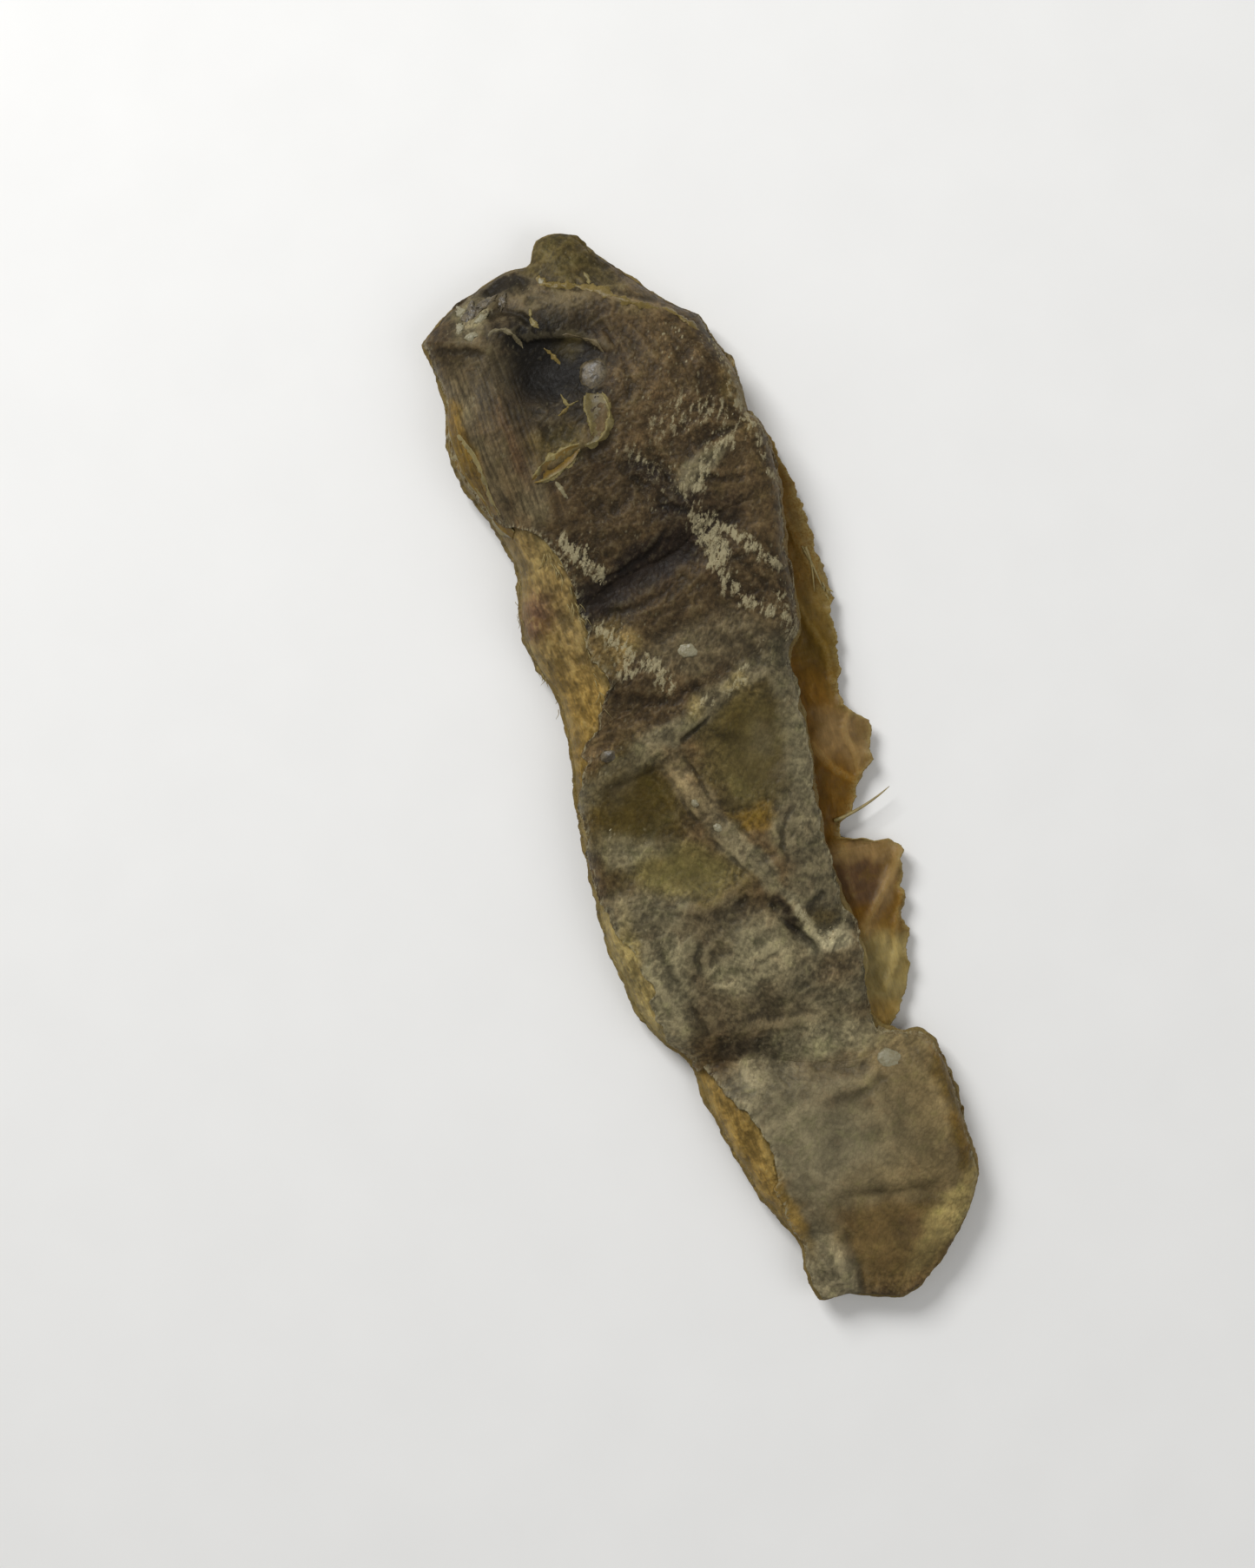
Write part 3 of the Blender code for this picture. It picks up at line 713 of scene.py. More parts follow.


# Soft-edged patches of each colour. The slate patches, and the dark patches marked below, are painted shade.
SKIN_ZONES: dict[Tone, tuple[Patch, ...]] = {
    Tone.NUB_GREY: ((-0.8, 95.4, 5.4, 4.4, 0, 3),),
    Tone.OLIVE: (
        (4, 89.6, 5, 2.4, -40, 2), (-4.4, 78.6, 2.4, 1.6, 40, 9), (-11, 62.6, 4, 3.6, 20, 1.6),
        (8, 2, 8, 6.4, 80, 3), (-12.6, -7.4, 4, 1.6, 20, 3), (7, -6, 5, 3.4, 20, 2),
    ),
    Tone.BROWN: (
        (13.4, 84.4, 8, 3, -46, 2.4), (-20, 63, 7, 11, 0, 1.6), (8, 74, 11, 9, -30, 1.6),
        (7, 64, 8, 6, -60, 1.6), (21.5, 49, 4, 6, 0, 1.2), (-7, -31, 2.6, 2, 30, 1.6),
        (11.9, -40.6, 4, 2.4, 0, 2.4), (11.6, -88.4, 2.6, 1.8, 20, 5),
    ),
    Tone.DARK_BROWN: (
        (-25, 83, 7, 5, 80, 1.2), (16.4, 68, 5.4, 9, 0, 3.2), (13, 60, 8, 5, -20, 2.2),
        # The patch at (14.6, 49) below is painted shadow under the pale fold at (12.6, 51.6).
        (-7, 52, 9, 6, 10, 2.6), (-5, 45.6, 10, 4.4, 15, 2.4), (14.6, 49, 5, 1.5, 25, 3),
        (2, 30.5, 10, 4.4, 5, 1.8), (15.5, 31, 12, 4, -62, 2.8), (-7, 16, 6, 4, -20, 1.4),
        (3, 14.5, 7, 2.2, 24, 1.4), (7.3, -62.4, 4.6, 1.8, -10, 1.2),
    ),
    Tone.PALE_GREY: (
        (-19.6, 88.2, 3.6, 2.8, 40, 1.6), (15.6, -1, 2.2, 8, 0, 3), (-17.2, -10, 5, 2.6, -20, 2.2),
        (-3.1, -33, 7.4, 5.4, 0, 1.7), (-16.4, -33, 3.6, 10, -14, 2.2), (8.8, -29.4, 4.6, 0.9, -64, 3.4),
        (7, -51.6, 8, 3, -8, 1.6),
    ),
    Tone.DARK_GREY: (
        (-12, 91.8, 6, 2.6, 0, 1.6), (-11.4, 67.6, 5.4, 3.4, 0, 4), (-15.8, 62, 1.2, 8, 5, 0.7),
        # The patch at (-6.8, -49.6) below is painted shade along the waist crease.
        (11, -27.8, 2.6, 1, 30, 1.2), (-6.8, -49.6, 5, 1.7, -10, 1.1),
    ),
    Tone.GREY_BROWN: (
        (-5, 86, 7, 3.5, -20, 1.2), (7, 86, 8, 3, -40, 1), (-21, 77, 5.5, 6.5, 0, 1.8),
        (-20.4, 62, 1, 11, 4, 1.6), (6, 21, 10, 4.4, 0, 2), (12.6, -3.6, 3.2, 1.8, 50, 2),
        (-16.4, 0.8, 3.4, 1.8, 50, 1.6), (-8, -26.4, 8, 2.4, -10, 1.6), (-12.6, -36, 2, 6, -14, 1.2),
        (-4, -43.4, 8, 3, -6, 2.4), (9, -58, 4.4, 1.5, -18, 2.4),
    ),
    Tone.NEAR_BLACK: ((-8, 76, 9, 7.2, 0, 10),),
    Tone.GREY: (
        (-23.6, 65, 1.8, 11, 6, 1.2), (-17.4, 54, 2.4, 4, 0, 1.6), (12.6, 51.6, 5.4, 1.5, 30, 4),
        (17.6, 9, 3.2, 9, 0, 2), (-2, 9.4, 20, 1.8, 22, 1.8), (9.6, 2.4, 3, 2.4, 30, 2),
        (1, -14.4, 8, 1.7, -64, 2.2), (13.6, -14, 4, 9, 10, 1.8), (-19.4, -22, 5, 4, 0, 1.4),
        (12, -29, 4, 6, 0, 1.8), (9, -42, 8, 4.4, 0, 2),
    ),
    Tone.RED_BROWN: ((-18.2, 63, 1.1, 9, 5, 1.6),),
    Tone.GOLD_OLIVE: (
        (-27.4, 66, 1.8, 10, 6, 2.4), (4.8, -9.8, 3, 2.2, 10, 1.8), (25.6, -70, 1.9, 15, 0, 3.6),
    ),
    Tone.TAN: ((22.4, 66, 1.8, 8, 0, 1.4), (-10.6, 25.6, 3.4, 3.4, 0, 2.2)),
    # Painted shade: the shadow in the hollow fold and along creases.
    Tone.SLATE_SHADE: (
        (2.6, 52, 4.6, 1.8, -55, 3), (6.4, 46, 5, 2, 15, 3), (-3, 36.4, 13, 3, 20, 8),
        (6.8, -31.2, 5.4, 0.9, -64, 2.2),
    ),
    Tone.STRAW: (
        (0.2, 11.2, 2.2, 1.4, 34, 2), (8.4, 13.4, 2, 1.3, 38, 2), (-23.6, -33, 1.8, 9, -10, 3),
        (20.4, -87, 8.4, 2.2, 38, 16),
    ),
    Tone.DARK_OLIVE: (
        (5.8, 6.6, 3.6, 1.6, 34, 3), (-14.8, -3, 7.4, 6, 60, 3.2), (12.1, -30.6, 1.9, 1.5, 0, 5),
    ),
    Tone.PALE_OLIVE: ((3.6, -4, 3, 1.4, -60, 2), (-9.6, -16.4, 7, 3.6, -20, 2.4)),
    Tone.TAN_GREY: ((-4.6, -3, 9, 1.8, -66, 2.4),),
    Tone.CRUST: ((11.6, -34.2, 3.2, 2, -10, 4),),
    Tone.TAIL_GREY: (
        (-3.4, -68, 4.6, 10, 14, 2.6), (-7, -59, 5, 6, -30, 2.6), (8, -69, 9, 9, 0, 2.4),
        (-3, -91, 3.4, 6.4, 0, 5),
    ),
    Tone.TAIL_TAN: (
        (14, -78.6, 12, 3.6, -8, 2), (15, -68, 7, 11, 0, 2.4), (21.4, -66, 3.6, 11, 0, 2),
    ),
    Tone.TAIL_BROWN: ((9, -89, 9, 6, -16, 3.4),),
    Tone.YELLOW_TAN: ((-9.6, -74, 1.6, 14, 16, 1.6),),
}
FLESH_ZONES: dict[Tone, tuple[Patch, ...]] = {
    Tone.TAN: ((-19, 42, 5, 7, 10, 2), (-18.4, 28, 4, 6, 0, 1.6)),
    Tone.STRAW: (
        (-17, 45, 2, 4, -30, 1.4), (-23.6, -34, 3, 12, 0, 2.4), (20, -42.6, 4.6, 5.6, 0, 4),
    ),
    Tone.PINK_BROWN: ((-22, 35, 3, 4, 0, 2),),
    Tone.YELLOW_TAN: (
        (-18, 14, 5, 8, 0, 2.4), (-12, -66, 4, 16, 20, 2.2), (26, 22, 2.4, 3.4, 0, 1.4),
        (19, -50, 4, 2.6, 0, 4),
    ),
    Tone.GOLD_OLIVE: ((-22.8, 3, 2, 7, 0, 1.8), (26, 17, 4, 8, 0, 2.4)),
    Tone.AMBER: (
        (26, 36, 3, 12, 0, 2.4), (25.4, 8.6, 3.4, 3.6, 0, 3.4), (21, -9, 3.6, 4, 0, 2),
        (22, -34, 4, 3, 0, 2),
    ),
    Tone.PEACH: (
        (26, 0, 4.4, 5, 0, 3), (24.4, -21.8, 6, 1.8, -8, 3), (23.4, -31, 7, 1.6, 50, 2.4),
    ),
    Tone.RED_BROWN: ((20.6, -26.4, 3.6, 3.2, 0, 1.6),),
}


def tinted(x: Array, y: Array, base: Tone, zones: dict[Tone, tuple[Patch, ...]]) -> Array:
    """Colour at each point: the mean of the base and the zones, each weighed by its strength and by
    exp(-1.2 r^2.6), with r the point's distance in the zone's own half sizes, at bent positions.

    Args:
        x, y: the points.
        base: the colour where no zone reaches, at a weight of a tenth.
        zones: the patches of each colour.

    Returns:
        Linear red, green, blue and an alpha of 1 for each point.
    """
    wx = x + 1.3 * fractal(x / 6.0, y / 6.0, 201, 3)
    wy = y + 1.3 * fractal(x / 6.0, y / 6.0, 207, 3)
    weight = np.full(x.shape, 0.1)
    total = weight[..., None] * base.linear()
    for tone, patches in zones.items():
        for patch in patches:
            share = patch[5] * np.exp(-1.2 * np.hypot(*patch_axes(wx, wy, patch)) ** 2.6)
            weight = weight + share
            total = total + share[..., None] * tone.linear()
    return np.concatenate([total / weight[..., None], np.ones((*x.shape, 1))], axis=-1)


# Where pale flecks crowd on the skin.
SPECK_ZONES: tuple[Patch, ...] = (
    (13, 61, 12, 5, -30, 1.2), (14, 73, 9, 5, -44, 1.1), (0, 49, 10, 5, 20, 0.8), (5, 66, 9, 5, -60, 0.7),
    (4, 55, 9, 3.4, -50, 1.2), (-13, 42.6, 5, 3.6, 20, 1.3), (12, 50.5, 7, 3.4, 15, 1),
    (15, 34, 13, 6, -60, 0.8), (20, 24, 7, 4, -80, 1), (-9.6, 25, 5, 5, 0, 1.2),
    (-4.6, 18.6, 4, 2.4, -60, 1), (17, 12, 9, 3.6, 90, 0.5), (-1.6, -9, 14, 2.2, -65, 0.35),
    (-17.4, 6.4, 5, 3, 10, 0.9), (-17, -9.6, 5, 3, -20, 0.8), (-18.6, -28, 12, 4, -80, 0.5),
    (-3, -33, 8, 5.6, 0, 0.45), (12, -34, 6, 4, 0, 0.7), (-7, -58, 7, 6, -30, 0.4),
    (-2.6, -90, 6, 3, 90, 0.5), (-19.6, 88, 5, 4, 40, 1), (20.6, 68, 8, 3, 90, 0.8),
    (-23.6, 70, 8, 3, 90, 0.6),
)


def speckled(x: Array, y: Array) -> Array:
    """How thickly pale flecks crowd at each point: a thin spread everywhere, and the greatest of the zones'
    exp(-r^2), at bent positions."""
    wx = x + 1.5 * fractal(x / 5.0, y / 5.0, 221, 3)
    wy = y + 1.5 * fractal(x / 5.0, y / 5.0, 227, 3)
    total = 0.22 * (1.0 - RELIEF.smoothness(x, y))
    for zone in SPECK_ZONES:
        along, across = patch_axes(wx, wy, zone)
        total = np.maximum(total, zone[5] * np.exp(-(along**2) - across**2))
    return total


# ---- the meshes


@dataclass
class Pile:
    """A mesh in the making: vertices in millimetres, faces of four and three corners, and named values at
    its vertices (numbers, or colours of four)."""

    vertices: Array
    quads: Array
    triangles: Array = field(default_factory=lambda: np.zeros((0, 3), int))
    values: dict[str, Array] = field(default_factory=dict)

    def put(self, name: str, material: Material) -> Piece:
        """Makes the mesh object, smooth, with its values as point attributes.

        Args:
            name: the piece's name.
            material: its finish.

        Returns:
            The object, linked to the scene at the origin.
        """
        mesh = bpy.data.meshes.new(name)
        mesh.vertices.add(len(self.vertices))
        mesh.vertices.foreach_set("co", (self.vertices * MM).astype(np.float32).ravel())
        corners = np.concatenate([self.quads.ravel(), self.triangles.ravel()]).astype(np.int32)
        sizes = np.concatenate([np.full(len(self.quads), 4), np.full(len(self.triangles), 3)])
        starts = np.concatenate([[0], np.cumsum(sizes)[:-1]]).astype(np.int32)
        mesh.loops.add(len(corners))
        mesh.loops.foreach_set("vertex_index", corners)
        mesh.polygons.add(len(starts))
        mesh.polygons.foreach_set("loop_start", starts)
        mesh.update(calc_edges=True)
        mesh.validate()
        mesh.shade_smooth()
        for label, value in self.values.items():
            kind, key = ("FLOAT_COLOR", "color") if value.ndim == 2 else ("FLOAT", "value")
            layer = mesh.attributes.new(label, kind, "POINT")
            layer.data.foreach_set(key, value.astype(np.float32).ravel())
        mesh.materials.append(material)
        piece = bpy.data.objects.new(name, mesh)
        bpy.context.scene.collection.objects.link(piece)
        return piece


def joined(piles: list[Pile]) -> Pile:
    """Several piles as one mesh: later piles' corners are counted on from the earlier ones' vertices."""
    starts = np.concatenate([[0], np.cumsum([len(p.vertices) for p in piles])[:-1]])
    return Pile(
        np.concatenate([p.vertices for p in piles]),
        np.concatenate([p.quads + s for p, s in zip(piles, starts)]),
        np.concatenate([p.triangles + s for p, s in zip(piles, starts)]),
        {k: np.concatenate([p.values[k] for p in piles]) for k in piles[0].values},
    )


def grid_quads(index: Array) -> Array:
    """Faces of a grid of vertex numbers, whose corners run a, below, below right, right."""
    a, b, c, d = index[:-1, :-1], index[1:, :-1], index[1:, 1:], index[:-1, 1:]
    return np.stack([a, b, c, d], axis=-1).reshape(-1, 4)


def border(grid: Array) -> Array:
    """The border of a grid, of vertex numbers or of values, as one clockwise loop seen from above."""
    return np.concatenate([grid[0, :-1], grid[:-1, -1], grid[-1, :0:-1], grid[:0:-1, 0]])


@dataclass
class ClosedSheet:
    """A thin closed sheet on a grid: a fine top, a rounded wall, and an underside on every step-th line of
    the grid. The grid's rows and columns are one more than a multiple of step."""

    plan: Array
    top: Array
    under: Array
    wall_rows: int = 4
    bulge: float = 0.2
    step: int = 4
    values: dict[str, Array] = field(default_factory=dict)

    def spread(self, grid: Array) -> Array:
        """A grid's values at every vertex of the sheet: its top, its wall rows and its underside."""
        tail = grid.shape[2:]
        rings = np.broadcast_to(border(grid), (self.wall_rows, *border(grid).shape))
        coarse = grid[:: self.step, :: self.step]
        return np.concatenate([grid.reshape(-1, *tail), rings.reshape(-1, *tail), coarse.reshape(-1, *tail)])

    def vertices(self) -> Array:
        """Positions: the top grid, wall rings that bulge out by a half sine between top and underside and
        stop short of it, and the coarse underside."""
        rim, high, low = border(self.plan), border(self.top), border(self.under)
        along = np.roll(rim, -1, axis=0) - np.roll(rim, 1, axis=0)
        along = sum(np.roll(along, k, axis=0) for k in (-2, -1, 0, 1, 2))
        outward = np.column_stack([-along[:, 1], along[:, 0]])
        outward /= np.maximum(np.linalg.norm(outward, axis=1), 1e-9)[:, None]
        share = 0.85 * np.arange(1, self.wall_rows + 1)[:, None] / self.wall_rows
        proud = self.bulge * np.sin(math.pi * np.sqrt(share))
        rings = np.dstack([rim[None] + outward[None] * proud[..., None], high + (low - high) * share])
        coarse = np.dstack([self.plan, self.under])[:: self.step, :: self.step]
        top = np.dstack([self.plan, self.top])
        return np.concatenate([top.reshape(-1, 3), rings.reshape(-1, 3), coarse.reshape(-1, 3)])

    def pile(self) -> Pile:
        """The closed mesh: every face's corners run so that it points outwards.

        Returns:
            The sheet as a pile, with its values spread over all its vertices.
        """
        rows, columns = self.top.shape
        top = np.arange(rows * columns).reshape(rows, columns)
        loop = border(top)
        size = len(loop)
        rings = rows * columns + np.arange(self.wall_rows * size).reshape(self.wall_rows, size)
        wall = np.vstack([loop, rings])
        right = np.roll(wall, -1, axis=1)
        walls = np.stack([wall[:-1], right[:-1], right[1:], wall[1:]], axis=-1).reshape(-1, 4)
        coarse_shape = top[:: self.step, :: self.step].shape
        base = np.arange(coarse_shape[0] * coarse_shape[1]).reshape(coarse_shape) + rings.max() + 1
        under = grid_quads(base)[:, ::-1]
        foot, ring = border(base), rings[-1]
        at = np.arange(size)
        nearest = (at // self.step + (at % self.step >= self.step // 2)) % len(foot)
        fans = np.stack([ring, np.roll(ring, -1), foot[nearest]], axis=-1)
        middle = ring[self.step // 2 :: self.step]
        gaps = np.stack([middle, np.roll(foot, -1), foot], axis=-1)
        quads = np.concatenate([grid_quads(top), walls, under])
        values = {name: self.spread(grid) for name, grid in self.values.items()}
        return Pile(self.vertices(), quads, np.concatenate([fans, gaps]), values)


def torn(points: Points, count: int, reach: float, seed: int) -> Array:
    """count + 1 even points along a curve, pushed sideways by waves of several sizes and a few deep nicks,
    fading out at both ends.

    Args:
        points: what the curve goes through.
        count: how many steps.
        reach: the size of the waves.
        seed: which noise.

    Returns:
        The torn edge's points.
    """
    curve = resample(smooth_curve(points), count)
    run = run_along(curve)
    still = np.zeros(run.shape)
    wave = fractal(run / 6.5, still, seed, 4, 0.5)
    nick = np.clip(wave_noise(run / 3.1, still, seed + 9) - 0.35, 0.0, None)
    push = reach * (1.3 * wave + 1.5 * nick)
    push *= smoothstep(0.0, 2.5, run) * smoothstep(0.0, 2.5, run[-1] - run)
    return curve + normals_of(curve) * push[:, None]


def edge_distances(plan: Array) -> tuple[Array, Array, Array, Array]:
    """Lengths along a grid's own lines from each of its sides.

    Args:
        plan: the grid in plan.

    Returns:
        The distances from the left, right, top and bottom.
    """
    across = np.linalg.norm(np.diff(plan, axis=1), axis=2)
    along = np.linalg.norm(np.diff(plan, axis=0), axis=2)
    left = np.pad(np.cumsum(across, axis=1), ((0, 0), (1, 0)))
    top = np.pad(np.cumsum(along, axis=0), ((1, 0), (0, 0)))
    return left, left[:, -1:] - left, top, top[-1:] - top


def local_lift(detail: Array, cell: float) -> tuple[Array, Array]:
    """How each point stands against its surroundings.

    Args:
        detail: heights on a grid.
        cell: the grid's cell.

    Returns:
        The height over the mean within about a millimetre, and over the mean within about 4 mm.
    """
    near = detail - blurred(detail, max(2, round(0.8 / cell)))
    wide = detail - blurred(detail, max(4, round(3.2 / cell)))
    return near, wide


# ---- the finishes


class Graph:
    """A material's node tree, with short ways to add nodes and link them."""

    def __init__(self, name: str) -> None:
        """Starts a material of that name, which holds its output and a principled shader."""
        self.material = bpy.data.materials.new(name)
        self.material.use_nodes = True
        self.tree = self.material.node_tree
        self.shader = self.tree.nodes["Principled BSDF"]
        self.object_place = self.tree.nodes.new("ShaderNodeTexCoord").outputs["Object"]

    def feed(self, socket: Socket, value: object) -> None:
        """Links a socket, or sets it to a plain value."""
        if isinstance(value, Socket):
            self.tree.links.new(value, socket)
        else:
            socket.default_value = value

    def set(self, **values: object) -> None:
        """Sets or links the shader's sockets, named with underscores for spaces."""
        for name, value in values.items():
            self.feed(self.shader.inputs[name.replace("_", " ")], value)

    def node(
        self, kind: str, output: int | str, sockets: dict[int | str, object], **options: object
    ) -> Socket:
        """Adds a node.

        Args:
            kind: the node's type.
            output: the output that is wanted.
            sockets: what its inputs are fed with.
            options: its own settings.

        Returns:
            The output.
        """
        node = self.tree.nodes.new(kind)
        for name, value in options.items():
            setattr(node, name, value)
        for name, value in sockets.items():
            self.feed(node.inputs[name], value)
        return node.outputs[output]

    def attribute(self, name: str, output: str = "Fac") -> Socket:
        """The mesh's own value of that name, or its Color."""
        return self.node("ShaderNodeAttribute", output, {}, attribute_name=name)

    def stretched(self, share: float, turn: float) -> Socket:
        """Object coordinates turned about Z by an angle in degrees, and then shrunk to a share in their y."""
        sockets = {"Rotation": (0.0, 0.0, math.radians(turn)), "Scale": (1.0, 1.0 / share, 1.0)}
        sockets["Vector"] = self.object_place
        return self.node("ShaderNodeMapping", "Vector", sockets, vector_type="TEXTURE")

    def noise(
        self, scale: float, octaves: float, rough: float, bend: float = 0.0, place: Socket | None = None
    ) -> Socket:
        """Fractal noise from 0 to 1, of so many cells in a metre, at a place or at object coordinates."""
        sockets = {"Vector": place or self.object_place, "Scale": scale, "Detail": octaves}
        return self.node("ShaderNodeTexNoise", "Fac", sockets | {"Roughness": rough, "Distortion": bend})

    def cells(self, scale: float, feature: str, place: Socket) -> Socket:
        """Distances in a net of uneven cells, so many in a metre: to a cell's seed or to its edge."""
        sockets = {"Vector": place, "Scale": scale}
        return self.node("ShaderNodeTexVoronoi", "Distance", sockets, feature=feature)

    def span(self, value: Socket, low: float, high: float, start: float = 0.0, end: float = 1.0) -> Socket:
        """A value eased from start at low to end at high, and held outside them."""
        sockets = {"Value": value, "From Min": low, "From Max": high, "To Min": start, "To Max": end}
        return self.node("ShaderNodeMapRange", "Result", sockets, interpolation_type="SMOOTHSTEP")

    def math(self, operation: str, a: object, b: object = 0.0) -> Socket:
        """One operation on two values."""
        return self.node("ShaderNodeMath", 0, {0: a, 1: b}, operation=operation)

    def times(self, a: object, b: object) -> Socket:
        """Two values multiplied."""
        return self.math("MULTIPLY", a, b)

    def plus(self, a: object, b: object) -> Socket:
        """Two values added."""
        return self.math("ADD", a, b)

    def mix(self, share: object, a: object, b: object, blend: str = "MIX") -> Socket:
        """Two colours mixed by a share."""
        sockets = {"Factor": share, 6: a, 7: b}
        return self.node("ShaderNodeMix", 2, sockets, data_type="RGBA", blend_type=blend)

    def scaled(self, colour: object, gain: object) -> Socket:
        """A colour times a value."""
        return self.node("ShaderNodeVectorMath", 0, {0: colour, "Scale": gain}, operation="SCALE")

    def faded(self, gain: object, share: object) -> Socket:
        """A gain that is drawn towards 1 as a share falls to 0."""
        return self.plus(self.times(self.math("SUBTRACT", gain, 1.0), share), 1.0)

    def bump(self, height: Socket, depth: float) -> Socket:
        """A normal bent by a height of that depth in millimetres."""
        sockets = {"Strength": 1.0, "Distance": depth * MM, "Height": height}
        return self.node("ShaderNodeBump", "Normal", sockets)


def rgba(tone: Tone, gain: float = 1.0) -> tuple[float, float, float, float]:
    """A tone as a socket's linear colour, made lighter or darker by a gain."""
    return (*(tone.linear() * gain), 1.0)


@dataclass(frozen=True)
class SkinFinish:
    """Dried skin: the zone's tint, clouded, streaked and veined, with painted shade in its creases and a
    painted highlight on its crests, with flecks and pale crust, a leathery gloss and fine grain."""

    mottle_scale: float = 850.0
    cloud_scale: float = 270.0
    blotch_scale: float = 105.0
    grain_scale: float = 3600.0
    grain_depth: float = 0.045
    wrinkle_turn: float = -32.0

    def clouded(self, g: Graph, mottle: Socket) -> Socket:
        """The tint, made lighter and darker by noise of several sizes, less so on calm panels, and by the
        fin's rays, with painted shade in the creases and hollows and a painted highlight on the crests.

        Args:
            g: the material's graph.
            mottle: the finest of the noises.

        Returns:
            The colour.
        """
        calm = g.span(g.attribute("calm"), 0.0, 1.0, 1.0, 0.25)
        uneven = g.span(g.noise(190.0, 3.0, 0.6, 0.4), 0.38, 0.62, 0.4, 1.1)
        rough = g.times(calm, uneven)
        along_wrinkles = g.stretched(0.2, self.wrinkle_turn)
        broad = (
            (g.noise(self.cloud_scale, 3.0, 0.55, 0.8), 0.82, 1.2),
            (g.noise(self.blotch_scale, 3.0, 0.55, 0.5), 0.8, 1.22),
        )
        close = (
            (mottle, 0.88, 1.14),
            (g.noise(1500.0, 4.0, 0.62, 0.6, along_wrinkles), 0.84, 1.18),
            (g.noise(3000.0, 3.0, 0.6, 0.3, along_wrinkles), 0.9, 1.12),
        )
        tint = g.attribute("tint", "Color")
        for noise, low, high in broad:
            tint = g.scaled(tint, g.span(noise, 0.3, 0.7, low, high))
        for noise, low, high in close:
            tint = g.scaled(tint, g.faded(g.span(noise, 0.3, 0.7, low, high), rough))
        rays = g.noise(1700.0, 4.0, 0.66, 0.2, g.stretched(0.045, 4.0))
        tint = g.scaled(tint, g.faded(g.span(rays, 0.3, 0.7, 0.68, 1.34), g.attribute("fin")))
        # Painted shade and highlight: darker where the skin lies low, lighter where it stands high.
        tint = g.scaled(tint, g.faded(g.span(g.attribute("near"), -0.11, 0.1, 0.68, 1.28), calm))
        return g.scaled(tint, g.span(g.attribute("wide"), -0.42, 0.4, 0.6, 1.2))

    def veined(self, g: Graph, tint: Socket, calm: Socket, slanting: Socket) -> Socket:
        """The tint with pale veins and with a dark net between the small scales.

        Args:
            g: the material's graph.
            tint: the colour so far.
            calm: how rough the skin dried.
            slanting: coordinates drawn out along the wrinkles.

        Returns:
            The colour.
        """
        vein = g.math("ABSOLUTE", g.math("SUBTRACT", g.noise(520.0, 3.0, 0.6, 0.8, slanting), 0.5))
        tint = g.scaled(tint, g.faded(g.span(vein, 0.0, 0.02, 1.18, 1.0), calm))
        net = g.cells(1300.0, "DISTANCE_TO_EDGE", slanting)
        return g.scaled(tint, g.span(net, 0.0, 0.12, 0.88, 1.0))

    def flecked(self, g: Graph, tint: Socket, mottle: Socket, warm: Socket) -> Socket:
        """The tint with bright dots, pale flecks and fine dust where the specks crowd.

        Args:
            g: the material's graph.
            tint: the colour so far.
            mottle: fine noise that frays the dots and flecks.
            warm: broad noise that thins the dots out.

        Returns:
            The colour.
        """
        specks = g.attribute("specks")
        dots = g.cells(2100.0, "F1", g.stretched(0.48, self.wrinkle_turn))
        dots = g.span(g.plus(dots, g.times(mottle, 0.3)), 0.34, 0.56, 1.62, 1.0)
        crowded = g.times(g.span(specks, 0.1, 1.0), g.span(warm, 0.4, 0.56, 0.35, 1.0))
        tint = g.scaled(tint, g.faded(dots, crowded))
        flecks = g.cells(1250.0, "F1", g.stretched(0.5, self.wrinkle_turn))
        flecks = g.span(g.plus(flecks, g.times(mottle, 0.6)), 0.42, 0.6, 1.0, 0.0)
        patchy = g.span(g.noise(360.0, 4.0, 0.62), 0.46, 0.6)
        share = g.times(g.times(flecks, patchy), specks)
        tint = g.mix(g.times(share, 0.7), tint, rgba(Tone.CRUST, 0.9))
        dust = g.span(g.noise(2400.0, 3.0, 0.6), 0.56, 0.7, 0.0, 0.3)
        return g.mix(g.times(dust, specks), tint, rgba(Tone.PALE_GREY))

    def crusted(self, g: Graph, tint: Socket, calm: Socket, crust: Socket) -> Socket:
        """The tint with pale crust that clings in flakes, dark pits, and a painted highlight along torn
        edges.

        Args:
            g: the material's graph.
            tint: the colour so far.
            calm: how rough the skin dried.
            crust: how thickly it is crusted.

        Returns:
            The colour.
        """
        flaky = g.noise(1500.0, 4.0, 0.7, 0.8, g.stretched(0.34, self.wrinkle_turn))
        cling = g.span(g.times(crust, g.span(flaky, 0.34, 0.64, 0.25, 1.4)), 0.12, 0.8)
        tint = g.mix(g.times(cling, 0.8), tint, rgba(Tone.CRUST, 0.92))
        pits = g.span(g.noise(1300.0, 4.0, 0.65, 0.6), 0.28, 0.38, 0.25, 0.0)
        tint = g.mix(g.times(pits, calm), tint, rgba(Tone.NEAR_BLACK))
        # Painted highlight along the sheet's left and right torn edges, in pale crust colour broken by flaky
        # noise.
        lit_torn_edge = g.times(g.attribute("edge"), g.span(flaky, 0.48, 0.58, 0.0, 0.8))
        return g.mix(lit_torn_edge, tint, rgba(Tone.CRUST, 0.8))

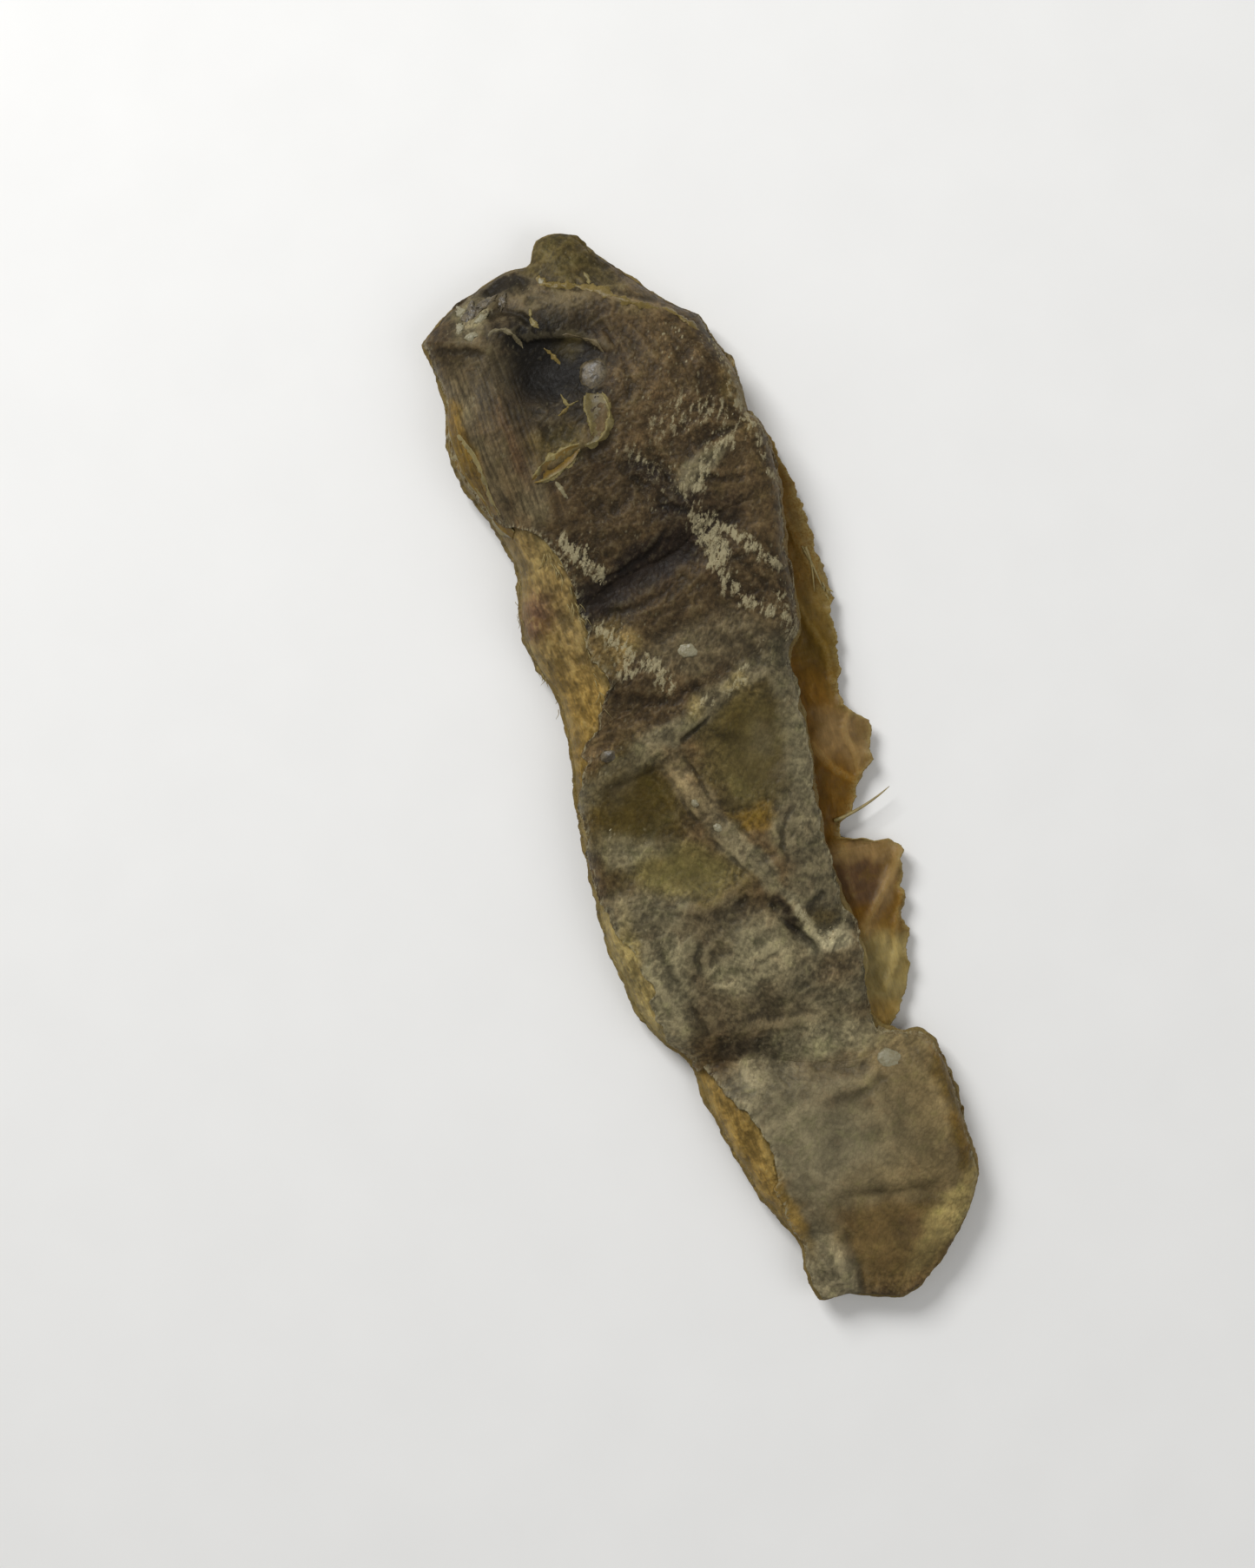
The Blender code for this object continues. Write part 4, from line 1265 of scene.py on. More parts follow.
    def make(self) -> Material:
        """Builds the material. It reads the values tint, near, wide, crust, specks, calm, fin and edge."""
        g = Graph("dried_skin")
        crust = g.attribute("crust")
        calm = g.span(g.attribute("calm"), 0.0, 1.0, 1.0, 0.3)
        slanting = g.stretched(0.42, self.wrinkle_turn)
        mottle = g.noise(self.mottle_scale, 5.0, 0.64, 0.6)
        warm = g.noise(330.0, 3.0, 0.6, 0.5)
        tint = self.clouded(g, mottle)
        tint = g.mix(g.span(warm, 0.52, 0.72), tint, (1.03, 0.98, 0.97, 1.0), "MULTIPLY")
        tint = g.mix(g.span(warm, 0.48, 0.3), tint, (0.97, 1.01, 0.93, 1.0), "MULTIPLY")
        # Painted highlight: the crests are drawn towards pale grey.
        tint = g.mix(g.span(g.attribute("near"), 0.02, 0.14, 0.0, 0.22), tint, rgba(Tone.GREY))
        tint = self.veined(g, tint, calm, slanting)
        tint = self.flecked(g, tint, mottle, warm)
        tint = self.crusted(g, tint, calm, crust)
        gloss = g.plus(g.span(mottle, 0.3, 0.7, 0.42, 0.6), g.times(crust, 0.2))
        grain = g.plus(g.noise(self.grain_scale, 3.0, 0.6), g.times(mottle, 1.2))
        streaks = g.noise(2300.0, 3.0, 0.6, 0.3, slanting)
        normal = g.bump(g.plus(grain, streaks), self.grain_depth)
        g.set(Base_Color=tint, Roughness=gloss, Normal=normal, Specular_IOR_Level=0.12)
        return g.material


@dataclass(frozen=True)
class FleshFinish:
    """Dried flesh: tan to amber fibres, horny and a little translucent, pale where it frays, with
    painted shade in its hollows and a painted highlight on its crests.
    """

    name: str
    contrast: float = 1.0  # how strongly its fibres show
    translucence: float = 0.1
    fibre_turn: float = 8.0
    gloss: tuple[float, float] = (0.42, 0.66)
    rib_depth: float = 0.12
    shine: float = 0.15

    def spread(self, low: float, high: float) -> tuple[float, float]:
        """Two gains, drawn towards 1 or away from it by the finish's contrast."""
        return 1.0 + (low - 1.0) * self.contrast, 1.0 + (high - 1.0) * self.contrast

    def make(self) -> Material:
        """Builds the material. It reads the values tint, near, wide and edge."""
        g = Graph(self.name)
        near, wide, edge = g.attribute("near"), g.attribute("wide"), g.attribute("edge")
        run = g.stretched(0.18, self.fibre_turn)
        fibre = g.noise(2100.0, 4.0, 0.62, 0.6, run)
        strand = g.noise(700.0, 3.0, 0.55, 0.9, run)
        blotch = g.noise(170.0, 4.0, 0.6, 0.5)
        fuzz = g.noise(1500.0, 5.0, 0.7, 1.2)
        tint = g.scaled(g.attribute("tint", "Color"), g.span(fibre, 0.3, 0.7, *self.spread(0.76, 1.28)))
        tint = g.scaled(tint, g.span(strand, 0.32, 0.68, *self.spread(0.84, 1.15)))
        tint = g.scaled(tint, g.span(blotch, 0.32, 0.68, 0.88, 1.12))
        # Painted shade and highlight: darker where the flesh lies low, lighter where it stands high.
        tint = g.scaled(tint, g.span(near, -0.15, 0.14, *self.spread(0.7, 1.28)))
        tint = g.scaled(tint, g.span(wide, -0.6, 0.5, *self.spread(0.72, 1.18)))
        amber = g.span(g.noise(240.0, 3.0, 0.6, 0.6), 0.48, 0.66, 0.0, 0.3)
        tint = g.mix(amber, tint, rgba(Tone.GOLD_OLIVE))
        # Pale straw on the raised fibres, more the higher they stand.
        frayed = g.times(g.span(near, 0.02, 0.2, 0.0, 0.5), g.span(fuzz, 0.36, 0.6))
        tint = g.mix(g.times(frayed, self.contrast), tint, rgba(Tone.STRAW, 1.05))
        pale_edge = g.times(edge, g.span(fuzz, 0.36, 0.58, 0.25, 0.85))
        tint = g.mix(pale_edge, tint, rgba(Tone.STRAW, 0.95))
        gloss = g.span(fibre, 0.3, 0.7, *self.gloss)
        ribs = g.plus(g.times(strand, 1.4), fibre)
        normal = g.bump(ribs, self.rib_depth)
        g.set(Base_Color=tint, Roughness=gloss, Normal=normal, Specular_IOR_Level=self.shine)
        g.set(Subsurface_Weight=self.translucence, Subsurface_Radius=(1.0, 0.5, 0.2), Subsurface_Scale=0.001)
        return g.material


@dataclass(frozen=True)
class MembraneFinish:
    """Dried membrane in its own tint, clouded and worn, glossy, and clear enough to let light through."""

    name: str
    clouding: float = 0.2
    worn: float = 0.4
    gloss: tuple[float, float] = (0.3, 0.5)

    def make(self) -> Material:
        """Builds the material. It reads the value tint."""
        g = Graph(self.name)
        mottle = g.noise(800.0, 4.0, 0.62, 0.5)
        cloud = g.noise(330.0, 3.0, 0.6, 0.5)
        low, high = 1.0 - self.clouding, 1.0 + self.clouding
        colour = g.scaled(g.attribute("tint", "Color"), g.span(mottle, 0.3, 0.7, low, high))
        colour = g.scaled(colour, g.span(cloud, 0.3, 0.7, low, high))
        worn = g.span(g.noise(1500.0, 4.0, 0.65, 0.5), 0.32, 0.46, self.worn, 0.0)
        colour = g.mix(worn, colour, rgba(Tone.BROWN, 0.9))
        normal = g.bump(g.noise(2200.0, 3.0, 0.6), 0.05)
        g.set(Base_Color=colour, Roughness=g.span(mottle, 0.3, 0.7, *self.gloss), Normal=normal)
        g.set(Subsurface_Weight=0.08, Subsurface_Radius=(1.0, 0.8, 0.5), Subsurface_Scale=0.0008)
        g.set(Specular_IOR_Level=0.2)
        return g.material


@dataclass(frozen=True)
class GristleFinish:
    """Grey gristle and loose scales: smooth, greyish and a little translucent."""

    name: str
    pale: Tone
    dark: Tone
    translucence: float = 0.1

    def make(self) -> Material:
        """Builds the material from two tones and fine mottling."""
        g = Graph(self.name)
        mottle = g.noise(1100.0, 4.0, 0.62, 0.5)
        colour = g.mix(g.span(mottle, 0.34, 0.62), rgba(self.dark), rgba(self.pale))
        normal = g.bump(g.noise(2600.0, 3.0, 0.6), 0.05)
        g.set(Base_Color=colour, Roughness=g.span(mottle, 0.3, 0.7, 0.34, 0.55), Normal=normal)
        g.set(Subsurface_Weight=self.translucence, Subsurface_Radius=(1.0, 0.9, 0.7), Subsurface_Scale=0.001)
        return g.material


# ---- the skin


@dataclass(frozen=True)
class SkinSheet:
    """One sheet of the skin: its four edges, how finely it is cut, and how each edge lies. Where two sheets
    join, the lower one's top is tucked under and the upper one's bottom dips into it."""

    name: str
    left: Points
    right: Points
    top: Points
    bottom: Points
    rows: int
    columns: int
    seed: int
    tear: tuple[float, float, float, float] = (0.5, 0.6, 0.4, 0.3)  # left, right, top, bottom
    tuck_top: float = 0.0
    dip_bottom: float = 0.0
    thickness: float = 0.9
    curl: float = 0.45

    def plan(self) -> Array:
        """The sheet's grid in plan, inside its torn edges."""
        return coons_patch(
            torn(self.left, self.rows, self.tear[0], self.seed),
            torn(self.right, self.rows, self.tear[1], self.seed + 1),
            torn(self.top, self.columns, self.tear[2], self.seed + 2),
            torn(self.bottom, self.columns, self.tear[3], self.seed + 3),
        )

    def edge_lift(self, plan: Array) -> Array:
        """How the sheet's edges curl up, tuck under or dip.

        Args:
            plan: the sheet's grid in plan.

        Returns:
            The height to add on the grid.
        """
        x, y = plan[..., 0], plan[..., 1]
        left, right, top, bottom = edge_distances(plan)
        uneven = 0.55 + 0.9 * np.clip(fractal(x / 4.0, y / 4.0, self.seed + 5, 3), -0.5, 1.0)
        sides = np.minimum(left, right)
        free = np.minimum(sides, top) if self.tuck_top == 0.0 else sides
        free = np.minimum(free, bottom) if self.dip_bottom == 0.0 else free
        lift = self.curl * uneven * np.exp(-free / 0.9)
        lift -= self.tuck_top * (1.0 - smoothstep(0.0, 3.0, top))
        lift -= self.dip_bottom * (1.0 - smoothstep(0.0, 1.1, bottom))
        return lift

    def build(self, finish: Material) -> Piece:
        """Works the sheet out and puts it in the scene.

        Args:
            finish: the skin's material.

        Returns:
            The piece.
        """
        plan = self.plan()
        x, y = plan[..., 0], plan[..., 1]
        cell = float(np.median(np.linalg.norm(np.diff(plan, axis=0), axis=2)))
        inward = FORM.inward(x, y)
        crust = RELIEF.crust(x, y)
        detail = RELIEF.strokes(x, y) + RELIEF.fine(x, y, crust)
        top = FORM.skin_height(x, y, inward) + detail + self.edge_lift(plan)
        # near and wide set the finish's painted shade in hollows and painted highlight on crests.
        near, wide = local_lift(detail, cell)
        gaps = edge_distances(plan)
        border_gap = np.minimum.reduce(gaps)
        thick = self.thickness * (0.75 + 0.5 * smoothstep(0.0, 2.0, border_gap))
        under = np.where(border_gap < 1.5, top, blurred(top, 5) - 0.5) - thick
        tint = tinted(x, y, Tone.BROWN, SKIN_ZONES)
        values = {"tint": tint, "near": near, "wide": wide, "crust": crust}
        values |= {"specks": speckled(x, y), "calm": RELIEF.smoothness(x, y), "fin": RELIEF.fin_rays(x, y)[1]}
        # edge: how near the sheet's left and right torn edges lie, where the finish paints a highlight.
        values["edge"] = np.exp(-np.minimum(*gaps[:2]) / 0.5)
        return ClosedSheet(plan, top, under, values=values).pile().put(self.name, finish)


# The skin's left edge, where the flesh shows beside it, and the two folds that part its sheets.
SKIN_LEFT_UPPER: Points = (
    (-28.8, 86.8), (-27.6, 76.4), (-28.9, 68.2), (-28, 61.2), (-25.6, 53.8), (-21.6, 50),
    (-18.4, 47.5), (-16.1, 44.4), (-15.2, 41.8), (-15, 37), (-14.7, 33),
)
SKIN_LEFT_LOWER: Points = (
    (-14.9, 34), (-15.3, 29.1), (-13.9, 23.9), (-13.6, 19), (-16.8, 13.5), (-20.2, 9.7),
    (-21.9, 5.4), (-23.9, -0.4), (-24.9, -5.4), (-25.4, -15), (-23.5, -24.4), (-21.3, -28.2),
    (-20.4, -33.3), (-21.3, -37.8), (-20.6, -42.8), (-17.9, -49.4), (-16.9, -51.2),
)
SKIN_LEFT_TAIL: Points = (
    (-16, -49.6), (-14.6, -52.4), (-12.1, -57.9), (-9.3, -61.9), (-7.9, -65.5), (-8.4, -71.7),
    (-8.6, -76.4), (-8.3, -82.1), (-6.8, -86.4), (-7.4, -91.3), (-6.2, -96.2),
)
HOLLOW_FOLD: Points = (
    (-14.7, 33), (-9.1, 35.2), (-2.4, 36.8), (4.5, 38.2), (10, 41), (16.5, 43), (24.9, 43.4),
)
WAIST_FOLD: Points = (
    (-16.9, -51.2), (-13.2, -50.8), (-7.9, -51.8), (-2.1, -53.7), (5.2, -55.9), (12, -57), (16.4, -54.2),
)


@dataclass(frozen=True)
class Skin:
    """The skin: a shoulder sheet, a flank sheet tucked under its fold, and a tail sheet tucked under the
    flank's."""

    right_inset: float = 0.15

    def right_between(self, high: float, low: float) -> Points:
        """The slab's right side from one y to a lower one, a little inside its outline."""
        side = smooth_curve(RIGHT_SIDE)
        kept = side[(side[:, 1] < high) & (side[:, 1] > low)][::3]
        ends = [[np.interp(y, side[::-1, 1], side[::-1, 0]), y] for y in (high, low)]
        line = np.vstack([ends[0], kept, ends[1]])
        return line - np.array([self.right_inset, 0.0])

    def sheets(self) -> tuple[SkinSheet, ...]:
        """The three sheets, with the folds' shared lines shifted so that each one tucks under the last."""
        fold = np.array(HOLLOW_FOLD)
        waist = np.array(WAIST_FOLD)
        under_fold = fold + np.array([0.0, 2.0])
        under_waist = waist + np.array([0.3, 1.8])
        shoulder_right = self.right_between(RIGHT_SIDE[0][1], float(fold[-1, 1]))
        flank_right = self.right_between(float(under_fold[-1, 1]), float(waist[-1, 1]))
        tail_right = self.right_between(float(under_waist[-1, 1]), RIGHT_SIDE[-1][1])
        return (
            SkinSheet(
                "skin_shoulder", SKIN_LEFT_UPPER, shoulder_right, TOP_END,
                np.vstack([SKIN_LEFT_UPPER[-1], fold[1:-1], shoulder_right[-1]]),
                rows=300, columns=288, seed=301, tear=(0.5, 1.0, 0.6, 0.3), dip_bottom=0.3,
            ),
            SkinSheet(
                "skin_flank", SKIN_LEFT_LOWER, flank_right,
                np.vstack([SKIN_LEFT_LOWER[0], under_fold[1:-1], flank_right[0]]),
                np.vstack([SKIN_LEFT_LOWER[-1], waist[1:-1], flank_right[-1]]),
                rows=436, columns=200, seed=331, tear=(1.1, 0.8, 0.4, 0.3), tuck_top=0.5, dip_bottom=0.2,
            ),
            SkinSheet(
                "skin_tail", SKIN_LEFT_TAIL, tail_right,
                np.vstack([SKIN_LEFT_TAIL[0], under_waist[1:-1], tail_right[0]]), TAIL_END,
                rows=268, columns=212, seed=361, tear=(0.8, 0.6, 0.4, 0.4), tuck_top=0.35,
            ),
        )

    def build(self) -> list[Piece]:
        """Builds the three sheets with one finish."""
        finish = SkinFinish().make()
        return [sheet.build(finish) for sheet in self.sheets()]


# ---- the flesh


@dataclass(frozen=True)
class FleshCore:
    """The slab of flesh under the skin: closed, with a layered wall and a flaky underside."""

    rows: int = 468
    columns: int = 88
    wall_rows: int = 14
    sunk: float = 1.35
    layer: float = 1.1  # height of one layer of the wall
    chevron: float = 6.5  # length of one flake of the underside

    def plan(self) -> Array:
        """The grid in plan, its columns closer together towards both sides."""
        even = coons_patch(
            torn(LEFT_SIDE, self.rows, 0.4, 401),
            torn(RIGHT_SIDE, self.rows, 0.35, 402),
            torn(TOP_END, self.columns, 0.35, 403),
            torn(TAIL_END, self.columns, 0.35, 404),
        )
        share = np.linspace(0.0, 1.0, self.columns + 1)
        closer = share - 0.085 * np.sin(2.0 * math.pi * share)
        low = np.clip((closer * self.columns).astype(int), 0, self.columns - 1)
        part = (closer * self.columns - low)[None, :, None]
        return even[:, low] * (1.0 - part) + even[:, low + 1] * part

    def underside(self, x: Array, y: Array, inward: Array) -> Array:
        """Height of the flaky underside: chevron flakes along the piece, a shallow trough where the
        backbone lay, and fibres; it touches the table only at its high places.

        Args:
            x, y: the points.
            inward: how far inside the outline they lie.

        Returns:
            The height above the table.
        """
        middle = x - at_station(((-100.0, 8.0), (-50.0, -2.0), (100.0, -3.0)), y)
        wave = np.abs(np.mod(middle / 17.0 + 0.25, 1.0) - 0.5) * 17.0
        run = (y + 1.1 * wave + 1.2 * fractal(x / 7.0, y / 7.0, 431, 3)) / self.chevron
        step = np.mod(run, 1.0)
        flake = 0.75 * smoothstep(0.0, 0.14, step) * (1.0 - 0.55 * step)
        trough = 1.3 * np.exp(-((middle / 2.2) ** 2)) * smoothstep(0.0, 0.2, 1.0 - np.abs(y) / 100.0)
        fibre = 0.2 * ridged(x / 1.6, y / 6.0, 437, 3) + 0.22 * fractal(x / 4.0, y / 6.0, 439, 3)
        rest = 0.75 - flake + trough + fibre + 0.05
        return FORM.under_height(y, inward) + np.clip(rest, 0.0, None) * smoothstep(0.0, 4.0, inward)

    def build(self, finish: Material) -> Piece:
        """Works the slab out and puts it in the scene.

        Args:
            finish: the flesh's material.

        Returns:
            The piece.
        """
        plan = self.plan()
        x, y = plan[..., 0], plan[..., 1]
        inward = FORM.inward(x, y)
        detail = RELIEF.strokes(x, y)
        top = FORM.skin_height(x, y, inward) + detail - self.sunk * smoothstep(-0.5, 1.5, inward) - 0.4
        top += 0.25 * fractal(x / 3.0, y / 3.0, 441, 3)
        under = self.underside(x, y, inward)
        top = np.maximum(top, under + 1.2)
        # The underside's relief, turned over below, sets the finish's painted shade in its hollows and
        # painted highlight on its flakes.
        near, wide = local_lift(under, 0.4)
        tint = tinted(x, y, Tone.TAN, FLESH_ZONES)
        edge = 0.5 * np.exp(-inward / 1.0)
        values = {"tint": tint, "near": -near, "wide": -wide, "edge": edge}
        sheet = ClosedSheet(plan, top, under, self.wall_rows, 0.5, 1, values)
        pile = sheet.pile()
        pile.vertices = self.layered(pile.vertices, plan)
        return pile.put("flesh_core", finish)

    def layered(self, vertices: Array, plan: Array) -> Array:
        """The wall's vertices pushed out and in by sharp-crested noise that is long along the piece and
        short up it.

        Args:
            vertices: the sheet's vertices.
            plan: its grid in plan.

        Returns:
            The vertices, with the wall's moved.
        """
        count = plan.shape[0] * plan.shape[1]
        size = len(border(plan[..., 0]))
        wall = slice(count, count + self.wall_rows * size)
        moved = vertices.copy()
        x, y, z = moved[wall].T
        centre = at_station(((-100.0, 9.0), (-50.0, -1.5), (100.0, -3.0)), y)
        outward = np.column_stack([x - centre, 0.25 * y / 10.0])
        outward /= np.maximum(np.linalg.norm(outward, axis=1), 1e-9)[:, None]
        run = (x + 1.7 * y) / 9.0
        push = 0.6 * (ridged(run, z / self.layer, 447, 3) - 0.6) + 0.1 * fractal(run * 4.0, z / 0.6, 449, 2)
        moved[wall, 0:2] += outward * push[:, None]
        return moved


@dataclass(frozen=True)
class FleshPatch:
    """A layer of flesh that shows beside the skin, tucked under the skin's edge on its inner side."""

    name: str
    outer: Points
    inner: Points
    rows: int
    columns: int
    seed: int
    rise: float = -0.45  # where its top lies against the skin's
    thickness: float = 2.2
    tear: float = 0.55

    def build(self, finish: Material) -> Piece:
        """Works the patch out: fibres that slant across it, a net of pale threads, and a torn outer edge
        that rolls down.

        Args:
            finish: the flesh's material.

        Returns:
            The piece.
        """
        outer = torn(self.outer, self.rows, self.tear, self.seed)
        inner = torn(self.inner, self.rows, 0.2, self.seed + 1)
        plan = drawn_between(outer, inner, self.columns)
        x, y = plan[..., 0], plan[..., 1]
        left, right, top_gap, bottom_gap = edge_distances(plan)
        inward = FORM.inward(x, y)
        along, side = turned(x, y, 84.0)
        bend = 1.2 * fractal(x / 5.0, y / 5.0, self.seed + 3, 3)
        threads = ridged((side + bend) / 1.7, (along + bend) / 4.6, self.seed + 5, 3)
        tangle = ridged((x + bend) / 1.9, (y - bend) / 1.5, self.seed + 7, 4)
        detail = 0.32 * (threads - 0.55) + 0.16 * (tangle - 0.55)
        detail += 0.34 * fractal(x / 4.4, y / 6.0, self.seed + 9, 5, 0.6)
        top = FORM.skin_height(x, y, inward) + 0.5 * RELIEF.strokes(x, y) + detail + self.rise
        ends = np.minimum(top_gap, bottom_gap)
        top -= 1.1 * (1.0 - smoothstep(0.0, 3.0, right)) + 1.2 * (1.0 - smoothstep(0.0, 3.0, ends))
        top -= 0.5 * np.exp(-left / 0.8)
        # near and wide set the finish's painted shade in hollows and painted highlight on crests.
        near, wide = local_lift(detail, float(np.median(np.diff(left, axis=1))))
        tint = tinted(x, y, Tone.TAN, FLESH_ZONES)
        thick = self.thickness * smoothstep(-1.0, 1.5, left)
        edge = 0.7 * np.exp(-left / 0.8) + 0.5 * np.exp(-(((right - 2.2) / 1.2) ** 2))
        values = {"tint": tint, "near": near, "wide": wide, "edge": edge}
        sheet = ClosedSheet(plan, top, top - 0.5 - thick, 6, 0.25, 4, values)
        return sheet.pile().put(self.name, finish)


FLESH_PATCHES: tuple[FleshPatch, ...] = (
    FleshPatch(
        "flesh_left",
        outer=((-26.4, 54.6), (-23.5, 43.4), (-25.4, 31.2), (-22.4, 15.9), (-24.4, 2), (-25.2, -8)),
        inner=((-20.4, 54), (-12.6, 42), (-12.4, 31), (-11.6, 18), (-19, 4), (-22.6, -7.6)),
        rows=372, columns=84, seed=501,
    ),
    FleshPatch(
        "flesh_lower_left",
        outer=((-25.9, -17), (-25.9, -27), (-24.4, -35), (-22.2, -42.3), (-18, -49.2)),
        inner=((-23.2, -17), (-19.4, -26.6), (-17.8, -34), (-18, -41.6), (-14.4, -49.4)),
        rows=220, columns=48, seed=531,
    ),
    FleshPatch(
        "flesh_tail_left",
        outer=((-16.6, -52.4), (-15.9, -60.3), (-11.5, -76.9), (-7.2, -86)),
        inner=((-11.6, -52), (-7, -61), (-5.6, -76), (-4.2, -86)),
        rows=236, columns=56, seed=561,
    ),
)


@dataclass(frozen=True)
class Ledge:
    """The thin flap of flesh along the right side: three angular lobes that thin to a torn edge."""

    ends: tuple[float, float] = (58.5, -55.0)
    # The corners of the free edge, from the shoulder down.
    corners: Points = (
        (25, 58.5), (26.4, 54), (27.6, 48), (28.6, 42), (29, 36), (28.6, 32.5), (29.3, 28),
        (29.6, 23.6), (28.3, 22.6), (28.1, 19), (28, 14.5), (26.9, 10.4), (25.6, 7), (25.9, 4.6),
        (27.6, 3), (29.6, 0.6), (29.7, -1), (28.5, -3.6), (28.2, -6.2), (25.9, -8.2), (24.4, -10.4),
        (23.4, -12.6), (22, -14.2), (19.6, -15.6), (19.2, -18.2), (21.4, -19.2), (23, -19.4),
        (25, -20.6), (27.4, -20.7), (29, -22), (29.2, -23.4), (27.9, -25.2), (28.3, -27.4),
        (27, -29.2), (27.3, -31.6), (26, -34.6), (26.3, -37.4), (25.2, -39.6),
        (24.6, -44), (22.4, -48.6), (19.4, -52.2), (16, -55),
    )
    furthest: float = 30.2
    tear: float = 0.55
    root: float = 6.0
    # Folds that run out over the lobes: (height, half width, points).
    folds: tuple[tuple[float, float, Points], ...] = (
        (0.8, 0.9, ((28.8, -23.4), (26.4, -26.6), (23, -30.4), (18.6, -35.4))),
        (0.7, 0.8, ((27, -31), (24.4, -36), (23, -41), (19.8, -46))),
        (0.7, 0.7, ((27.4, 3.6), (25, 0), (25.8, -4.6), (25.4, -8))),
        (0.6, 0.8, ((24.4, -8.8), (21.4, -6), (18.6, -1))),
        (0.7, 1, ((24.4, 47), (25, 40), (26.6, 33), (29, 25))),
        (0.5, 0.8, ((22.4, 30), (23.6, 22), (25.6, 15), (25.2, 9))),
    )
    between: float = 1.6
    rows: int = 500
    columns: int = 64
    middle: tuple[float, float] = (3.3, 2.1)
    thickness: tuple[float, float] = (3.2, 0.8)

    def edge(self, y: Array, inner: Array) -> Array:
        """The x of the free edge at each y: straight runs between the corners, never inside the slab's own
        inner line, torn by noise of its own length and by a few nicks where it stands clear of it."""
        corners = np.array(self.corners)
        edge = np.maximum(np.interp(-y, -corners[:, 1], corners[:, 0]), inner)
        still = np.zeros(y.shape)
        nicks = np.clip(wave_noise(y / 2.3, still, 605) - 0.3, 0.0, None)
        fray = fractal(y / 4.0, still, 601, 5, 0.65) - 1.6 * nicks
        return np.minimum(edge + self.tear * fray * smoothstep(0.0, 4.0, edge - inner), self.furthest)

    def build(self, finish: Material) -> Piece:
        """Works the ledge out and puts it in the scene.

        Args:
            finish: the ledge's material.

        Returns:
            The piece.
        """
        side = smooth_curve(RIGHT_SIDE)[::-1]
        y = np.linspace(*self.ends, self.rows + 1)
        outline = np.interp(y, side[:, 1], side[:, 0])
        free = self.edge(y, outline - self.between)
        out = np.linspace(0.0, 1.0, self.columns + 1)
        root = outline - self.root
        x = root[:, None] + (free - root)[:, None] * out
        plan = np.dstack([x, np.broadcast_to(y[:, None], x.shape)])
        y = plan[..., 1]
        bend = 0.9 * fractal(x / 6.0, y / 6.0, 611, 3)
        along, across = turned(x + bend, y + bend, 80.0)
        threads = ridged(across / 2.2, along / 12.0, 613, 3)
        facets = ridged(x / 5.2, y / 5.2, 627, 2)
        detail = 0.18 * (threads - 0.55) + 0.2 * (facets - 0.5)
        detail += 0.34 * fractal(x / 5.0, y / 8.0, 617, 4, 0.5)
        fold = 0.35 * np.sin(2.0 * math.pi * (y + 0.8 * x) / 19.0 + 2.0 * wave_noise(x / 9.0, y / 9.0, 619))
        middle = self.middle[0] + (self.middle[1] - self.middle[0]) * out + fold * out
        half = 0.5 * (self.thickness[0] + (self.thickness[1] - self.thickness[0]) * out**0.7)
        curl = 1.5 * np.exp(-edge_distances(plan)[1] / 1.8) * (0.35 + 0.8 * wave_noise(x / 4.0, y / 4.0, 623))
        folds = np.zeros(x.shape)
        for height, width, points in self.folds:
            at = nearest_on(x, y, smooth_curve(points), 5.0 * width)
            folds += height * np.exp(-((at.distance / width) ** 2))
        top = middle + half + detail * (0.5 + 0.5 * out) + curl + folds * out
        under = np.maximum(middle - half + curl, 0.05)
        # near and wide set the finish's painted shade in hollows and painted highlight on crests.
        near, wide = local_lift(detail + folds, 0.2)
        tint = tinted(x, y, Tone.AMBER, FLESH_ZONES)
        pale_run = 0.7 + 2.2 * smoothstep(20.0, 26.0, y) * smoothstep(46.0, 38.0, y)
        rim = np.exp(-edge_distances(plan)[1] / pale_run)
        values = {"tint": tint, "near": near, "wide": wide, "edge": rim}
        return ClosedSheet(plan, top, under, 4, 0.15, 4, values).pile().put("flesh_ledge", finish)


@dataclass(frozen=True)
class Flesh:
    """All the flesh: the core, the layers that show beside the skin, and the ledge."""

    def build(self) -> list[Piece]:
        """Builds the flesh with a horny finish for the slab and a clearer one for the ledge."""
        dense = FleshFinish("dried_flesh").make()
        clear = FleshFinish("amber_flesh", 0.45, 0.08, 2.0, (0.34, 0.52), 0.06, 0.12).make()
        pieces = [FleshCore().build(dense)]
        pieces += [patch.build(dense) for patch in FLESH_PATCHES]
        pieces.append(Ledge().build(clear))
        return pieces


# ---- rims, gristle, crust, fibres


def skin_surface(x: Array, y: Array) -> Array:
    """The skin's height with all its relief, for what lies on it."""
    inward = FORM.inward(x, y)
    return FORM.skin_height(x, y, inward) + RELIEF.strokes(x, y) + RELIEF.fine(x, y, RELIEF.crust(x, y))


@dataclass(frozen=True)
class Strand:
    """A rolled edge of dried membrane: its colour, the line it follows, its greatest half width and its
    height over the skin."""

    tone: Tone
    points: Points
    half_width: float
    height: float = 0.3


